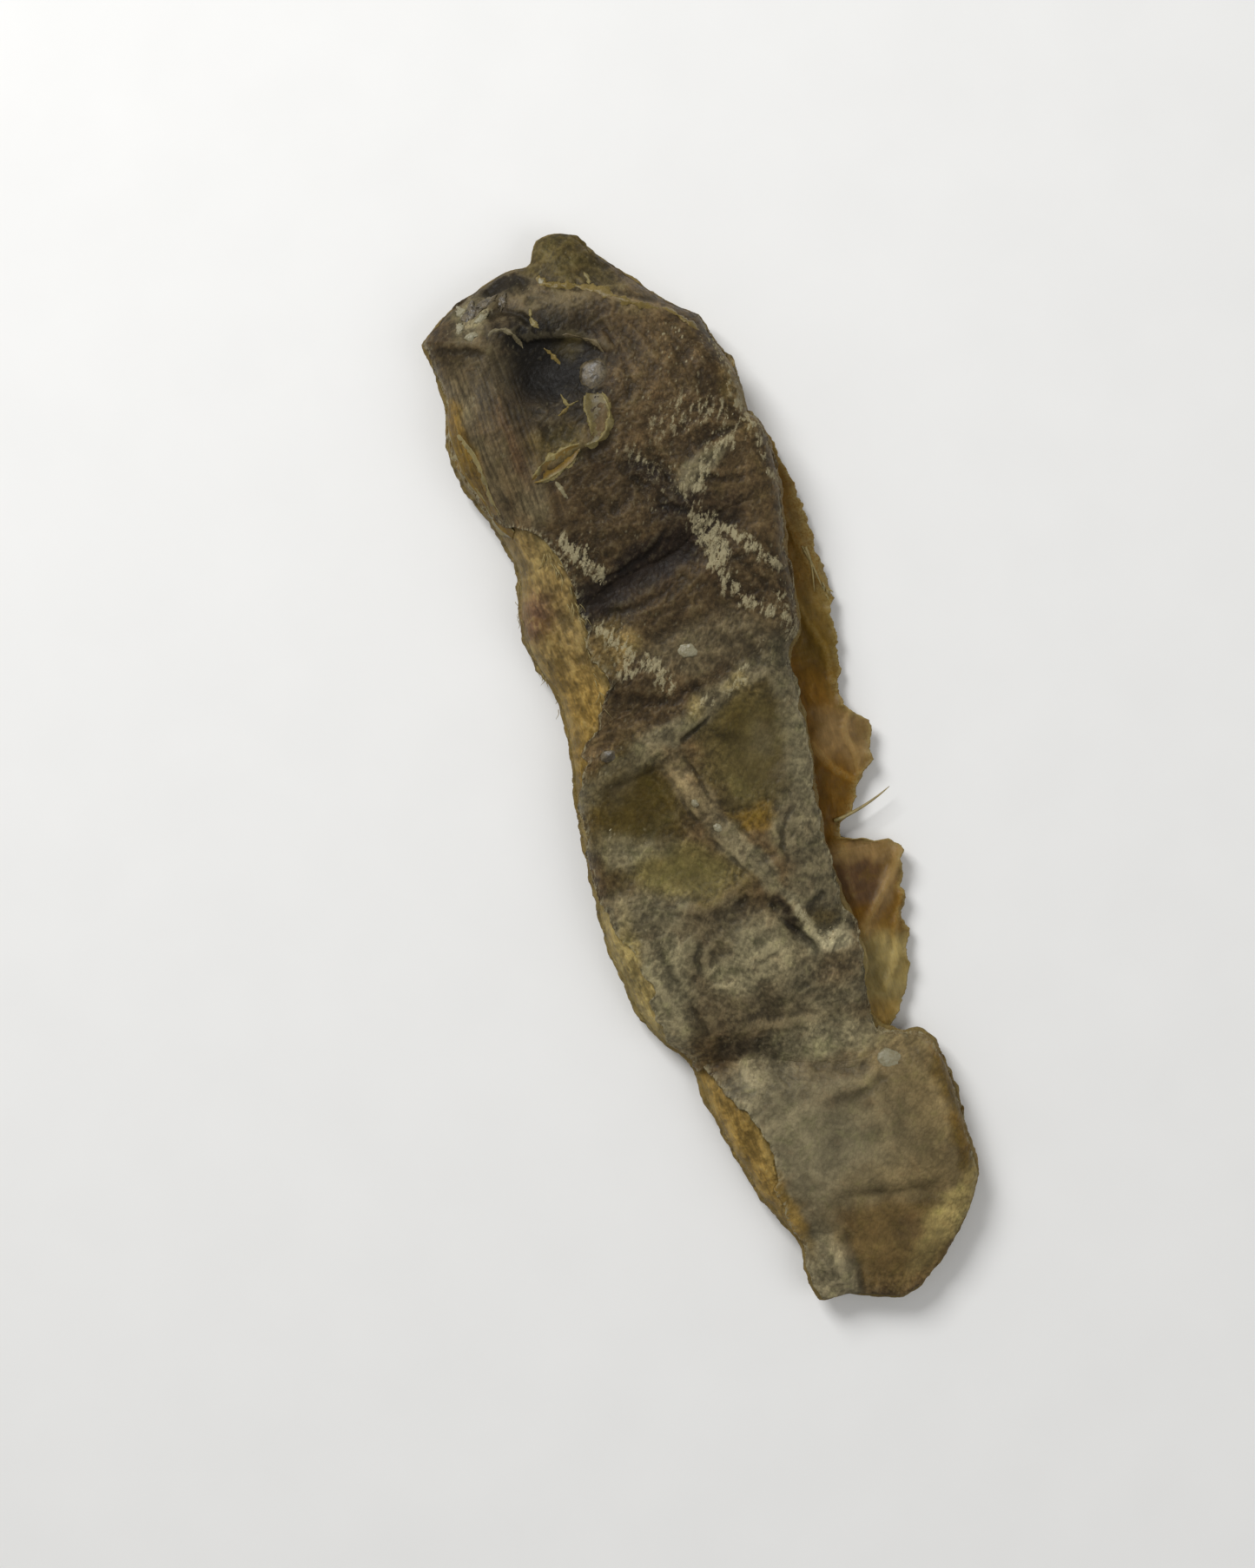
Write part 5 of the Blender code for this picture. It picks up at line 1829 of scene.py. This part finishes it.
LENS_UPPER: Points = ((-17.2, 56.6), (-15.6, 58), (-13.6, 59.4), (-9.6, 60.8), (-6.6, 60.8))
LENS_LOWER: Points = ((-17.1, 56.5), (-15.2, 56.2), (-13, 56.6), (-9.4, 58), (-6.7, 60.4))
HOOK_OUTER: Points = ((-6.8, 60.5), (-5, 60.3), (-2.1, 61.2), (-0.6, 63.9), (-0.3, 66.6), (-1, 69.2))
HOOK_INNER: Points = ((-5, 60.9), (-4.5, 62.4), (-4.2, 64.6), (-4.3, 67.3), (-3.2, 69.8))
FIN_OUTER: Points = (
    (-28, 75.2), (-28.5, 70.6), (-28.4, 65.6), (-27.8, 60.9), (-26.3, 57), (-24.9, 51.8), (-22.8, 48.6),
)
FIN_INNER: Points = (
    (-28.4, 74), (-27.4, 70.2), (-26.2, 66.2), (-25, 62.6), (-24.8, 58.9), (-24.2, 54.3), (-22.2, 49.6),
)
STRANDS: tuple[Strand, ...] = (
    Strand(Tone.STRAND, LENS_UPPER, 0.85, 0.4),
    Strand(Tone.STRAND, LENS_LOWER, 0.75, 0.3),
    Strand(Tone.STRAND, HOOK_OUTER, 0.95, 0.42),
    Strand(Tone.STRAND, HOOK_INNER, 0.55),
    Strand(Tone.STRAND, FIN_OUTER, 0.9, 0.3),
    Strand(Tone.STRAND, FIN_INNER, 0.6, 0.25),
    Strand(Tone.STRAND, ((-8, 70.9), (-7.5, 69.4), (-6.9, 68.1), (-4.7, 68.2)), 0.5),
    Strand(Tone.LOW_STRAND, ((-9.4, 66.6), (-8.2, 67.2), (-6.8, 68.2)), 0.6),
    Strand(Tone.LOW_STRAND, ((-6.8, 92.8), (-5.4, 91), (-3.6, 89.6), (-1.6, 88.9), (0.6, 88.5)), 1.2, 0.35),
    Strand(Tone.LOW_STRAND, ((-1.2, 89.2), (3.3, 86.9), (7.2, 83.8)), 1.2, 0.3),
    Strand(Tone.LOW_STRAND, ((6, 84.4), (10, 81.7), (13.6, 80.2)), 1, 0.3),
    Strand(Tone.LOW_STRAND, ((13.2, 80.6), (14.7, 79.8), (17, 77.2), (19, 74.4)), 0.75, 0.4),
    Strand(Tone.STRAND, ((2, 91), (2.4, 89.4), (2.2, 88)), 0.7, 0.3),
    Strand(Tone.GREY, ((-17.8, 83.4), (-15.8, 84.5), (-13.6, 83.6), (-12.4, 81.6), (-12, 79.2)), 0.6, 0.4),
    Strand(Tone.GREY_BROWN, ((-5.4, 80.6), (-1.9, 79.4), (0.8, 77.2), (1.9, 74.6)), 0.5),
    Strand(Tone.STRAND, ((-9, 87), (-9, 84.6), (-8.4, 82.4)), 0.7),
    Strand(Tone.LOW_STRAND, ((-8.8, 79.8), (-7.2, 77.6), (-6.4, 75.2)), 0.6, 0.25),
    Strand(Tone.PALE_GREY, ((-13, 56), (-12.2, 53.6), (-11.4, 52)), 0.6),
)


@dataclass(frozen=True)
class Web:
    """A membrane stretched between two lines, in its own colour, sagging a little between them."""

    tone: Tone
    one: Points
    other: Points
    lift: float = 0.3
    sag: float = 0.35


WEBS: tuple[Web, ...] = (
    Web(Tone.GOLD_OLIVE, LENS_UPPER, LENS_LOWER),
    Web(Tone.OLIVE, HOOK_INNER, HOOK_OUTER, 0.2, 0.2),
    Web(Tone.GOLD_OLIVE, FIN_OUTER, FIN_INNER, 0.2, 0.2),
)


@dataclass(frozen=True)
class Membranes:
    """Rolled strands drawn out along the skin's torn places, and the webs between them."""

    steps: int = 96
    columns: int = 12
    web_columns: int = 20
    slender: float = 0.6  # the share of its half width that a strand shows over the skin
    seed: int = 701

    def strand(self, strand: Strand, seed: int) -> Pile:
        """One strand as a closed strip: over u from -1 to 1 across it, its height is (1 - |u|^2.2) times
        the strand's; its half width is uneven and shrinks to points at its ends.

        Args:
            strand: the strand's sizes.
            seed: which unevenness.

        Returns:
            The strip.
        """
        line = resample(smooth_curve(strand.points), self.steps)
        run = run_along(line)[:, None]
        t = run / run[-1]
        wander = 0.3 * fractal(run / 3.6, 0.0 * run, seed, 2)
        uneven = np.clip(1.0 + 1.1 * fractal(run / 2.6, 0.0 * run, seed + 3, 4, 0.6), 0.3, 2.0)
        ends = np.sqrt(np.abs(np.sin(math.pi * t)))
        half = self.slender * strand.half_width * (0.1 + 0.9 * ends) * uneven
        u = np.linspace(-1.0, 1.0, self.columns + 1)
        plan = line[:, None] + normals_of(line)[:, None] * (wander + half * u)[..., None]
        x, y = plan[..., 0], plan[..., 1]
        height = strand.height * (0.75 + 0.5 * wave_noise(x / 2.6, y / 2.6, seed + 5)) * (1.0 + 0.5 * u)
        height = height * (1.0 - np.abs(u) ** 2.2) + 0.06 * fractal(x / 0.8, y / 0.8, seed + 7, 3)
        base = blurred(skin_surface(x, y), 3)
        top = base + 0.06 + height * ends - 0.35 * (1.0 - ends)
        tint = np.concatenate([strand.tone.linear(), [1.0]]) * np.ones((*x.shape, 1))
        return ClosedSheet(plan, top, base - 0.7, 3, 0.05, 4, {"tint": tint}).pile()

    def web(self, web: Web, seed: int) -> Pile:
        """One web as a closed strip between two lines: lifted over the skin, hollow by a half sine between
        the lines, and tucked in at its ends.

        Args:
            web: the web's lines and sizes.
            seed: which unevenness.

        Returns:
            The web.
        """
        one = resample(smooth_curve(web.one), self.steps)
        other = resample(smooth_curve(web.other), self.steps)
        plan = drawn_between(one, other, self.web_columns)
        x, y = plan[..., 0], plan[..., 1]
        t, v = np.linspace(0.0, 1.0, self.steps + 1)[:, None], np.linspace(0.0, 1.0, self.web_columns + 1)
        ends = smoothstep(0.0, 0.1, t) * smoothstep(0.0, 0.1, 1.0 - t)
        hollow = web.sag * np.sin(math.pi * v)
        base = blurred(skin_surface(x, y), 4)
        lift = web.lift + 0.05 * fractal(x / 2.4, y / 2.4, seed, 2)
        top = base + (lift - hollow) * ends - 0.2 * (1.0 - ends)
        pale = 0.35 + 0.3 * wave_noise(x / 1.5, y / 1.5, seed + 3)[..., None]
        pale = np.clip(pale, 0.0, 1.0) * np.abs(2.0 * v[:, None] - 1.0) ** 2
        colour = web.tone.linear() * (1.0 - pale) + Tone.STRAND.linear() * pale
        tint = np.concatenate([colour, np.ones((*x.shape, 1))], axis=-1)
        return ClosedSheet(plan, top, base - 0.7, 3, 0.05, 4, {"tint": tint}).pile()

    def build(self) -> list[Piece]:
        """Joins the strands into one piece and the webs into another."""
        strands = [self.strand(strand, self.seed + 13 * i) for i, strand in enumerate(STRANDS)]
        webs = [self.web(web, self.seed + 401 + 13 * i) for i, web in enumerate(WEBS)]
        return [
            joined(strands).put("curled_strands", MembraneFinish("rolled_membrane", 0.15, 0.25).make()),
            joined(webs).put("amber_webs", MembraneFinish("clear_membrane", 0.2, 0.1, (0.34, 0.5)).make()),
        ]


@dataclass(frozen=True)
class Knob:
    """A lump on the skin: place, half length, half width, turn in degrees, height, and how crumpled it is."""

    x: float
    y: float
    half_length: float
    half_width: float
    turn: float
    height: float
    crumple: float = 0.15


@dataclass(frozen=True)
class Gristle:
    """Lumps that stand on the skin: a grey knuckle beside the dark hollow, crumpled pale membrane at the
    top left corner, and a few round pale scales."""

    rings: int = 20
    spokes: int = 48
    knuckles: tuple[Knob, ...] = (
        Knob(-1.2, 72.0, 3.2, 2.9, 60.0, 0.75, 0.08),
        Knob(-16.9, 7.0, 1.6, 1.3, 10.0, 0.45),
        Knob(-19.2, 88.8, 2.6, 1.6, 60.0, 0.5, 0.6),
        Knob(-16.2, 90.0, 2.4, 1.0, 20.0, 0.4, 0.6),
        Knob(-13.2, 89.4, 1.8, 0.8, 60.0, 0.4, 0.6),
    )
    knobs: tuple[Knob, ...] = (
        Knob(1.4, 21.1, 2.0, 1.5, -20.0, 0.3, 0.2),
        Knob(16.4, -57.9, 2.4, 1.9, -16.0, 0.4, 0.15),
        Knob(-4.5, -5.1, 0.9, 0.7, -60.0, 0.3),
        Knob(-1.8, -10.3, 1.0, 0.8, -60.0, 0.3),
        Knob(-20.6, 89.6, 1.8, 0.9, 115.0, 0.6, 0.6),
        Knob(-17.8, 87.4, 1.7, 0.8, 25.0, 0.5, 0.6),
        Knob(-21.8, 86.6, 1.5, 0.8, 70.0, 0.5, 0.6),
        Knob(-20.2, 84.6, 1.4, 0.9, 10.0, 0.5, 0.55),
        Knob(-5.6, 91.0, 1.0, 0.6, 120.0, 0.3, 0.5),
    )

    def lump(self, knob: Knob, seed: int) -> Pile:
        """One lump: height h (1 - r^2.4) over the skin at r from 0 to 1, with sharp-crested noise by how
        crumpled it is, its rim bent by noise and sunk in the skin, on rings round a closed centre.

        Args:
            knob: the lump's sizes.
            seed: which unevenness.

        Returns:
            The lump.
        """
        r = np.linspace(0.0, 1.0, self.rings + 1)[1:, None]
        angle = np.linspace(0.0, 2.0 * math.pi, self.spokes, endpoint=False)[None, :]
        reach = 0.05 + 0.45 * knob.crumple
        uneven = 1.0 + reach * fractal(2.0 + 1.3 * np.cos(angle), 2.0 + 1.3 * np.sin(angle), seed, 4, 0.6)
        along = knob.half_length * r * uneven * np.cos(angle)
        across = knob.half_width * r * uneven * np.sin(angle)
        x, y = turned(along, across, -knob.turn)
        x, y = x + knob.x, y + knob.y
        dome = knob.height * (1.0 - r**2.4) * np.ones(angle.shape)
        folds = ridged(x / 1.6, y / 1.6, seed + 5, 3) - 0.5
        dome = dome + knob.crumple * knob.height * 1.3 * folds * smoothstep(1.0, 0.6, r)
        base = skin_surface(np.array([knob.x]), np.array([knob.y]))[0]
        local = np.minimum(skin_surface(x, y), base + 0.6)
        z = 0.5 * local + 0.5 * base + dome - 0.55 * smoothstep(0.8, 1.0, r)
        ring_points = np.dstack([x, y, z]).reshape(-1, 3)
        centre = np.array([[knob.x, knob.y, z[0].mean() + 0.01], [knob.x, knob.y, base - 1.2]])
        vertices = np.concatenate([ring_points, centre])
        index = np.arange(self.rings * self.spokes).reshape(self.rings, self.spokes)
        closed = np.concatenate([index, index[:, :1]], axis=1)
        following = np.roll(index, -1, axis=1)
        top = len(ring_points)
        cap = np.stack([np.full(self.spokes, top), index[0], following[0]], axis=-1)
        foot = np.stack([np.full(self.spokes, top + 1), following[-1], index[-1]], axis=-1)
        return Pile(vertices, grid_quads(closed), np.concatenate([cap, foot]))

    def build(self) -> list[Piece]:
        """Builds the grey knuckles and the pale knobs as two pieces."""
        grey = GristleFinish("grey_gristle", Tone.GREY_BROWN, Tone.DARK_GREY).make()
        pale = GristleFinish("pale_gristle", Tone.MEMBRANE, Tone.PALE_GREY).make()
        groups = (("grey_knuckles", self.knuckles, grey), ("pale_knobs", self.knobs, pale))
        pieces = []
        for name, knobs, finish in groups:
            lumps = [self.lump(knob, 801 + 7 * i) for i, knob in enumerate(knobs)]
            pieces.append(joined(lumps).put(name, finish))
        return pieces


@dataclass(frozen=True)
class ScaleFlakes:
    """Loose scale flakes that cling where the skin is crusted, one small uneven disc each."""

    tries: int = 40000
    keep: int = 420
    spokes: int = 7
    size: tuple[float, float] = (0.06, 0.14)
    longest: float = 3.6  # how many times longer than wide
    slant: float = 58.0  # degrees, the way most of them run
    seed: int = 911

    def build(self) -> Piece:
        """Scatters the flakes: places are drawn at random and kept where the crust is thick; each flake is
        a long ring of corners, a domed centre and a pointed foot, tilted with the skin.

        Returns:
            The piece.
        """
        rng = np.random.default_rng(self.seed)
        x, y = rng.uniform(-27.0, 25.0, self.tries), rng.uniform(-97.0, 95.0, self.tries)
        inside = FORM.inward(x, y) > 0.8
        chance = np.clip(RELIEF.crust(x, y) - 0.15, 0.0, 1.0)
        kept = np.flatnonzero(inside & (rng.uniform(0.0, 1.0, self.tries) < chance))[: self.keep]
        x, y = x[kept, None], y[kept, None]
        radius = rng.uniform(*self.size, (kept.size, 1))
        slant = np.radians(rng.normal(self.slant, 16.0, (kept.size, 1)))
        longer = rng.uniform(1.0, self.longest, (kept.size, 1))
        angle = np.linspace(0.0, 2.0 * math.pi, self.spokes, endpoint=False)[None]
        wobble = radius * rng.uniform(0.65, 1.2, (kept.size, self.spokes))
        along, across = wobble * np.cos(angle) * longer, wobble * np.sin(angle)
        px = x + along * np.cos(slant) - across * np.sin(slant)
        py = y + along * np.sin(slant) + across * np.cos(slant)
        z = skin_surface(px, py)
        tilt = rng.uniform(-0.06, 0.14, (kept.size, 1)) * np.cos(angle)
        rim = np.stack([px, py, z + 0.02 + 0.6 * tilt], axis=-1)
        peak = np.stack([x, y, z.mean(axis=1, keepdims=True) + 0.07], axis=-1)
        foot = np.stack([x, y, z.mean(axis=1, keepdims=True) - 0.3], axis=-1)
        vertices = np.concatenate([rim, peak, foot], axis=1)
        each = self.spokes + 2
        corner = np.arange(self.spokes)
        following = (corner + 1) % self.spokes
        top = np.stack([corner, following, np.full(self.spokes, self.spokes)], axis=-1)
        low = np.stack([following, corner, np.full(self.spokes, self.spokes + 1)], axis=-1)
        faces = np.concatenate([top, low])[None] + (np.arange(kept.size) * each)[:, None, None]
        pile = Pile(vertices.reshape(-1, 3), np.zeros((0, 4), int), faces.reshape(-1, 3))
        return pile.put("scale_flakes", GristleFinish("loose_scales", Tone.CRUST, Tone.TAN).make())


@dataclass(frozen=True)
class Fringe:
    """Frayed fibres along an edge: the edge, how many, their length, and the way they point."""

    edge: Points
    count: int
    length: tuple[float, float]
    heading: float  # degrees, the way the fibres point in plan
    spread: float
    height: tuple[float, float]
    follow_skin: bool = False
    radius: float = 0.09


FRINGES: tuple[Fringe, ...] = (
    Fringe(((26.4, 35), (27.2, 33)), 3, (6.5, 8.5), -80, 3, (3.6, 4), False, 0.26),
    Fringe(((28.4, 28), (29, 24.4)), 6, (0.7, 1.6), -80, 10, (2.8, 3.4), False, 0.16),
    Fringe(((16.8, -15.6), (17, -15.5)), 1, (11.6, 11.8), 5, 0.5, (3.2, 3.4), False, 0.4),
    Fringe(((-23.8, 44), (-25.2, 34), (-23.4, 22), (-22.4, 12)), 22, (0.8, 2), -100, 16, (4.6, 6)),
    Fringe(((-17.6, 45), (-15.8, 38), (-15.2, 28), (-16, 16)), 36, (1.4, 3.6), -96, 14, (0, 0), True),
    Fringe(((-25.6, -22), (-24.2, -34), (-21.6, -42)), 12, (0.6, 1.6), -80, 18, (4.6, 6)),
    Fringe(((-16, -54), (-14.2, -66), (-10.2, -78)), 18, (0.8, 2), -70, 16, (4, 6)),
)


@dataclass(frozen=True)
class FrayedFibres:
    """Thin dried fibres: tapered five-sided threads that sag and wander."""

    sides: int = 5
    rings: int = 9
    seed: int = 941

    def threads(self, fringe: Fringe, rng: np.random.Generator) -> Pile:
        """The fibres of one fringe, as tubes along bent lines, their radius shrinking as a square root.

        Args:
            fringe: where and how they grow.
            rng: draws their sizes.

        Returns:
            The fibres.
        """
        line = resample(smooth_curve(fringe.edge), 200)
        start = line[rng.integers(0, 200, fringe.count)] + rng.normal(0.0, 0.45, (fringe.count, 2))
        length = rng.uniform(*fringe.length, (fringe.count, 1))
        heading = np.radians(fringe.heading + rng.normal(0.0, fringe.spread, (fringe.count, 1)))
        t = np.linspace(0.0, 1.0, self.rings + 1)[None]
        bend = rng.normal(0.0, 0.3, (fringe.count, 1))
        sway = 0.02 * fringe.spread
        angle = heading + bend * t + sway * np.sin(t * rng.uniform(3.0, 8.0, (fringe.count, 1)))
        step = length / self.rings
        x = start[:, :1] + np.cumsum(np.cos(angle) * step, axis=1)
        y = start[:, 1:] + np.cumsum(np.sin(angle) * step, axis=1)
        if fringe.follow_skin:
            z = skin_surface(x, y) - 0.3 + 0.55 * np.sin(math.pi * t)
        else:
            z = rng.uniform(*fringe.height, (fringe.count, 1)) + rng.normal(0.0, 0.5, (fringe.count, 1)) * t
        z = np.maximum(z, 0.3)
        radius = fringe.radius * rng.uniform(0.6, 1.5, (fringe.count, 1)) * np.sqrt(1.02 - t)
        round_angle = np.linspace(0.0, 2.0 * math.pi, self.sides, endpoint=False)
        side_x, side_y = -np.sin(angle), np.cos(angle)
        ring = radius[..., None] * np.cos(round_angle)
        vertices = np.stack(
            [
                x[..., None] + side_x[..., None] * ring,
                y[..., None] + side_y[..., None] * ring,
                z[..., None] + radius[..., None] * np.sin(round_angle),
            ],
            axis=-1,
        ).reshape(-1, 3)
        each = (self.rings + 1) * self.sides
        index = np.arange(each).reshape(self.rings + 1, self.sides)
        closed = np.concatenate([index, index[:, :1]], axis=1)
        tube = grid_quads(closed)[:, ::-1]
        ends = [np.stack([np.full(3, r[0]), r[1:4], r[2:5]], axis=-1) for r in (index[-1], index[0][::-1])]
        offsets = (np.arange(fringe.count) * each)[:, None, None]
        caps = (np.concatenate(ends)[None] + offsets).reshape(-1, 3)
        return Pile(vertices, (tube[None] + offsets).reshape(-1, 4), caps)

    def build(self) -> Piece:
        """Joins the fibres of every fringe into one piece."""
        rng = np.random.default_rng(self.seed)
        piles = [self.threads(fringe, rng) for fringe in FRINGES]
        finish = GristleFinish("dried_fibre", Tone.STRAW, Tone.STRAND).make()
        return joined(piles).put("frayed_fibres", finish)


# ---- studio


@dataclass(frozen=True)
class Studio:
    """The pale floor, the soft lights and the camera that looks straight down on the piece."""

    aim: tuple[float, float] = (-15.0, 1.4)
    aim_height: float = 10.0
    distance: float = 500.0
    turn: float = -15.7
    frame_height: float = 277.2
    sensor: float = 36.0
    floor_half: float = 1500.0

    def camera(self) -> None:
        """A camera whose long side spans frame_height at the piece's own height."""
        data = bpy.data.cameras.new("camera")
        data.sensor_width = self.sensor
        data.lens = self.sensor * self.distance / self.frame_height
        camera = bpy.data.objects.new("camera", data)
        camera.location = (self.aim[0] * MM, self.aim[1] * MM, (self.aim_height + self.distance) * MM)
        camera.rotation_euler = (0.0, 0.0, math.radians(self.turn))
        bpy.context.scene.collection.objects.link(camera)
        bpy.context.scene.camera = camera

    def light(self, name: str, place: tuple[float, float, float], size: float, power: float) -> None:
        """A square area light that looks at the piece.

        Args:
            name: the light's name.
            place: where it hangs, in millimetres, in the camera's turned axes.
            size: the length of its side in millimetres.
            power: its power in watts.
        """
        data = bpy.data.lights.new(name, "AREA")
        data.shape = "SQUARE"
        data.size = size * MM
        data.energy = power
        light = bpy.data.objects.new(name, data)
        x, y = turned(np.array(place[0]), np.array(place[1]), -self.turn)
        light.location = (float(x) * MM, float(y) * MM, place[2] * MM)
        aim = -light.location.copy()
        light.rotation_euler = aim.to_track_quat("-Z", "Y").to_euler()
        bpy.context.scene.collection.objects.link(light)

    def floor(self) -> None:
        """A plain pale floor: one square."""
        half = self.floor_half
        corners = np.array([(-half, -half, 0.0), (half, -half, 0.0), (half, half, 0.0), (-half, half, 0.0)])
        g = Graph("pale_floor")
        grain = g.noise(60.0, 3.0, 0.5)
        g.set(Base_Color=g.mix(grain, (0.8, 0.8, 0.79, 1.0), (0.84, 0.84, 0.83, 1.0)), Roughness=0.8)
        floor = Pile(corners, np.array([[0, 1, 2, 3]])).put("floor", g.material)

    def build(self) -> None:
        """Sets up the floor, lights, world and camera."""
        self.floor()
        self.camera()
        self.light("key", (-420.0, 520.0, 620.0), 380.0, 6.6)
        self.light("fill", (560.0, -260.0, 640.0), 620.0, 1.6)
        world = bpy.data.worlds.new("studio")
        world.use_nodes = True
        world.node_tree.nodes["Background"].inputs["Color"].default_value = (1.0, 0.99, 0.97, 1.0)
        world.node_tree.nodes["Background"].inputs["Strength"].default_value = 0.34
        bpy.context.scene.world = world
        bpy.context.scene.view_settings.view_transform = "Standard"
        bpy.context.scene.view_settings.look = "None"


def main() -> None:
    """Builds the piece, sub-assembly by sub-assembly, and sets it on its floor."""
    logging.basicConfig(level=logging.INFO, format="%(message)s")
    Studio().build()
    skins = Skin().build()
    fleshes = Flesh().build()
    extras = [*Membranes().build(), *Gristle().build(), ScaleFlakes().build(), FrayedFibres().build()]
    for piece in skins + fleshes + extras:
        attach(piece, "root")
        count = sum(len(face.vertices) - 2 for face in piece.data.polygons)
        LOG.info("%s: %d triangles", piece.name, count)
    for piece in skins + fleshes[:1]:
        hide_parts(NODE)


if __name__ == "__main__":
    main()
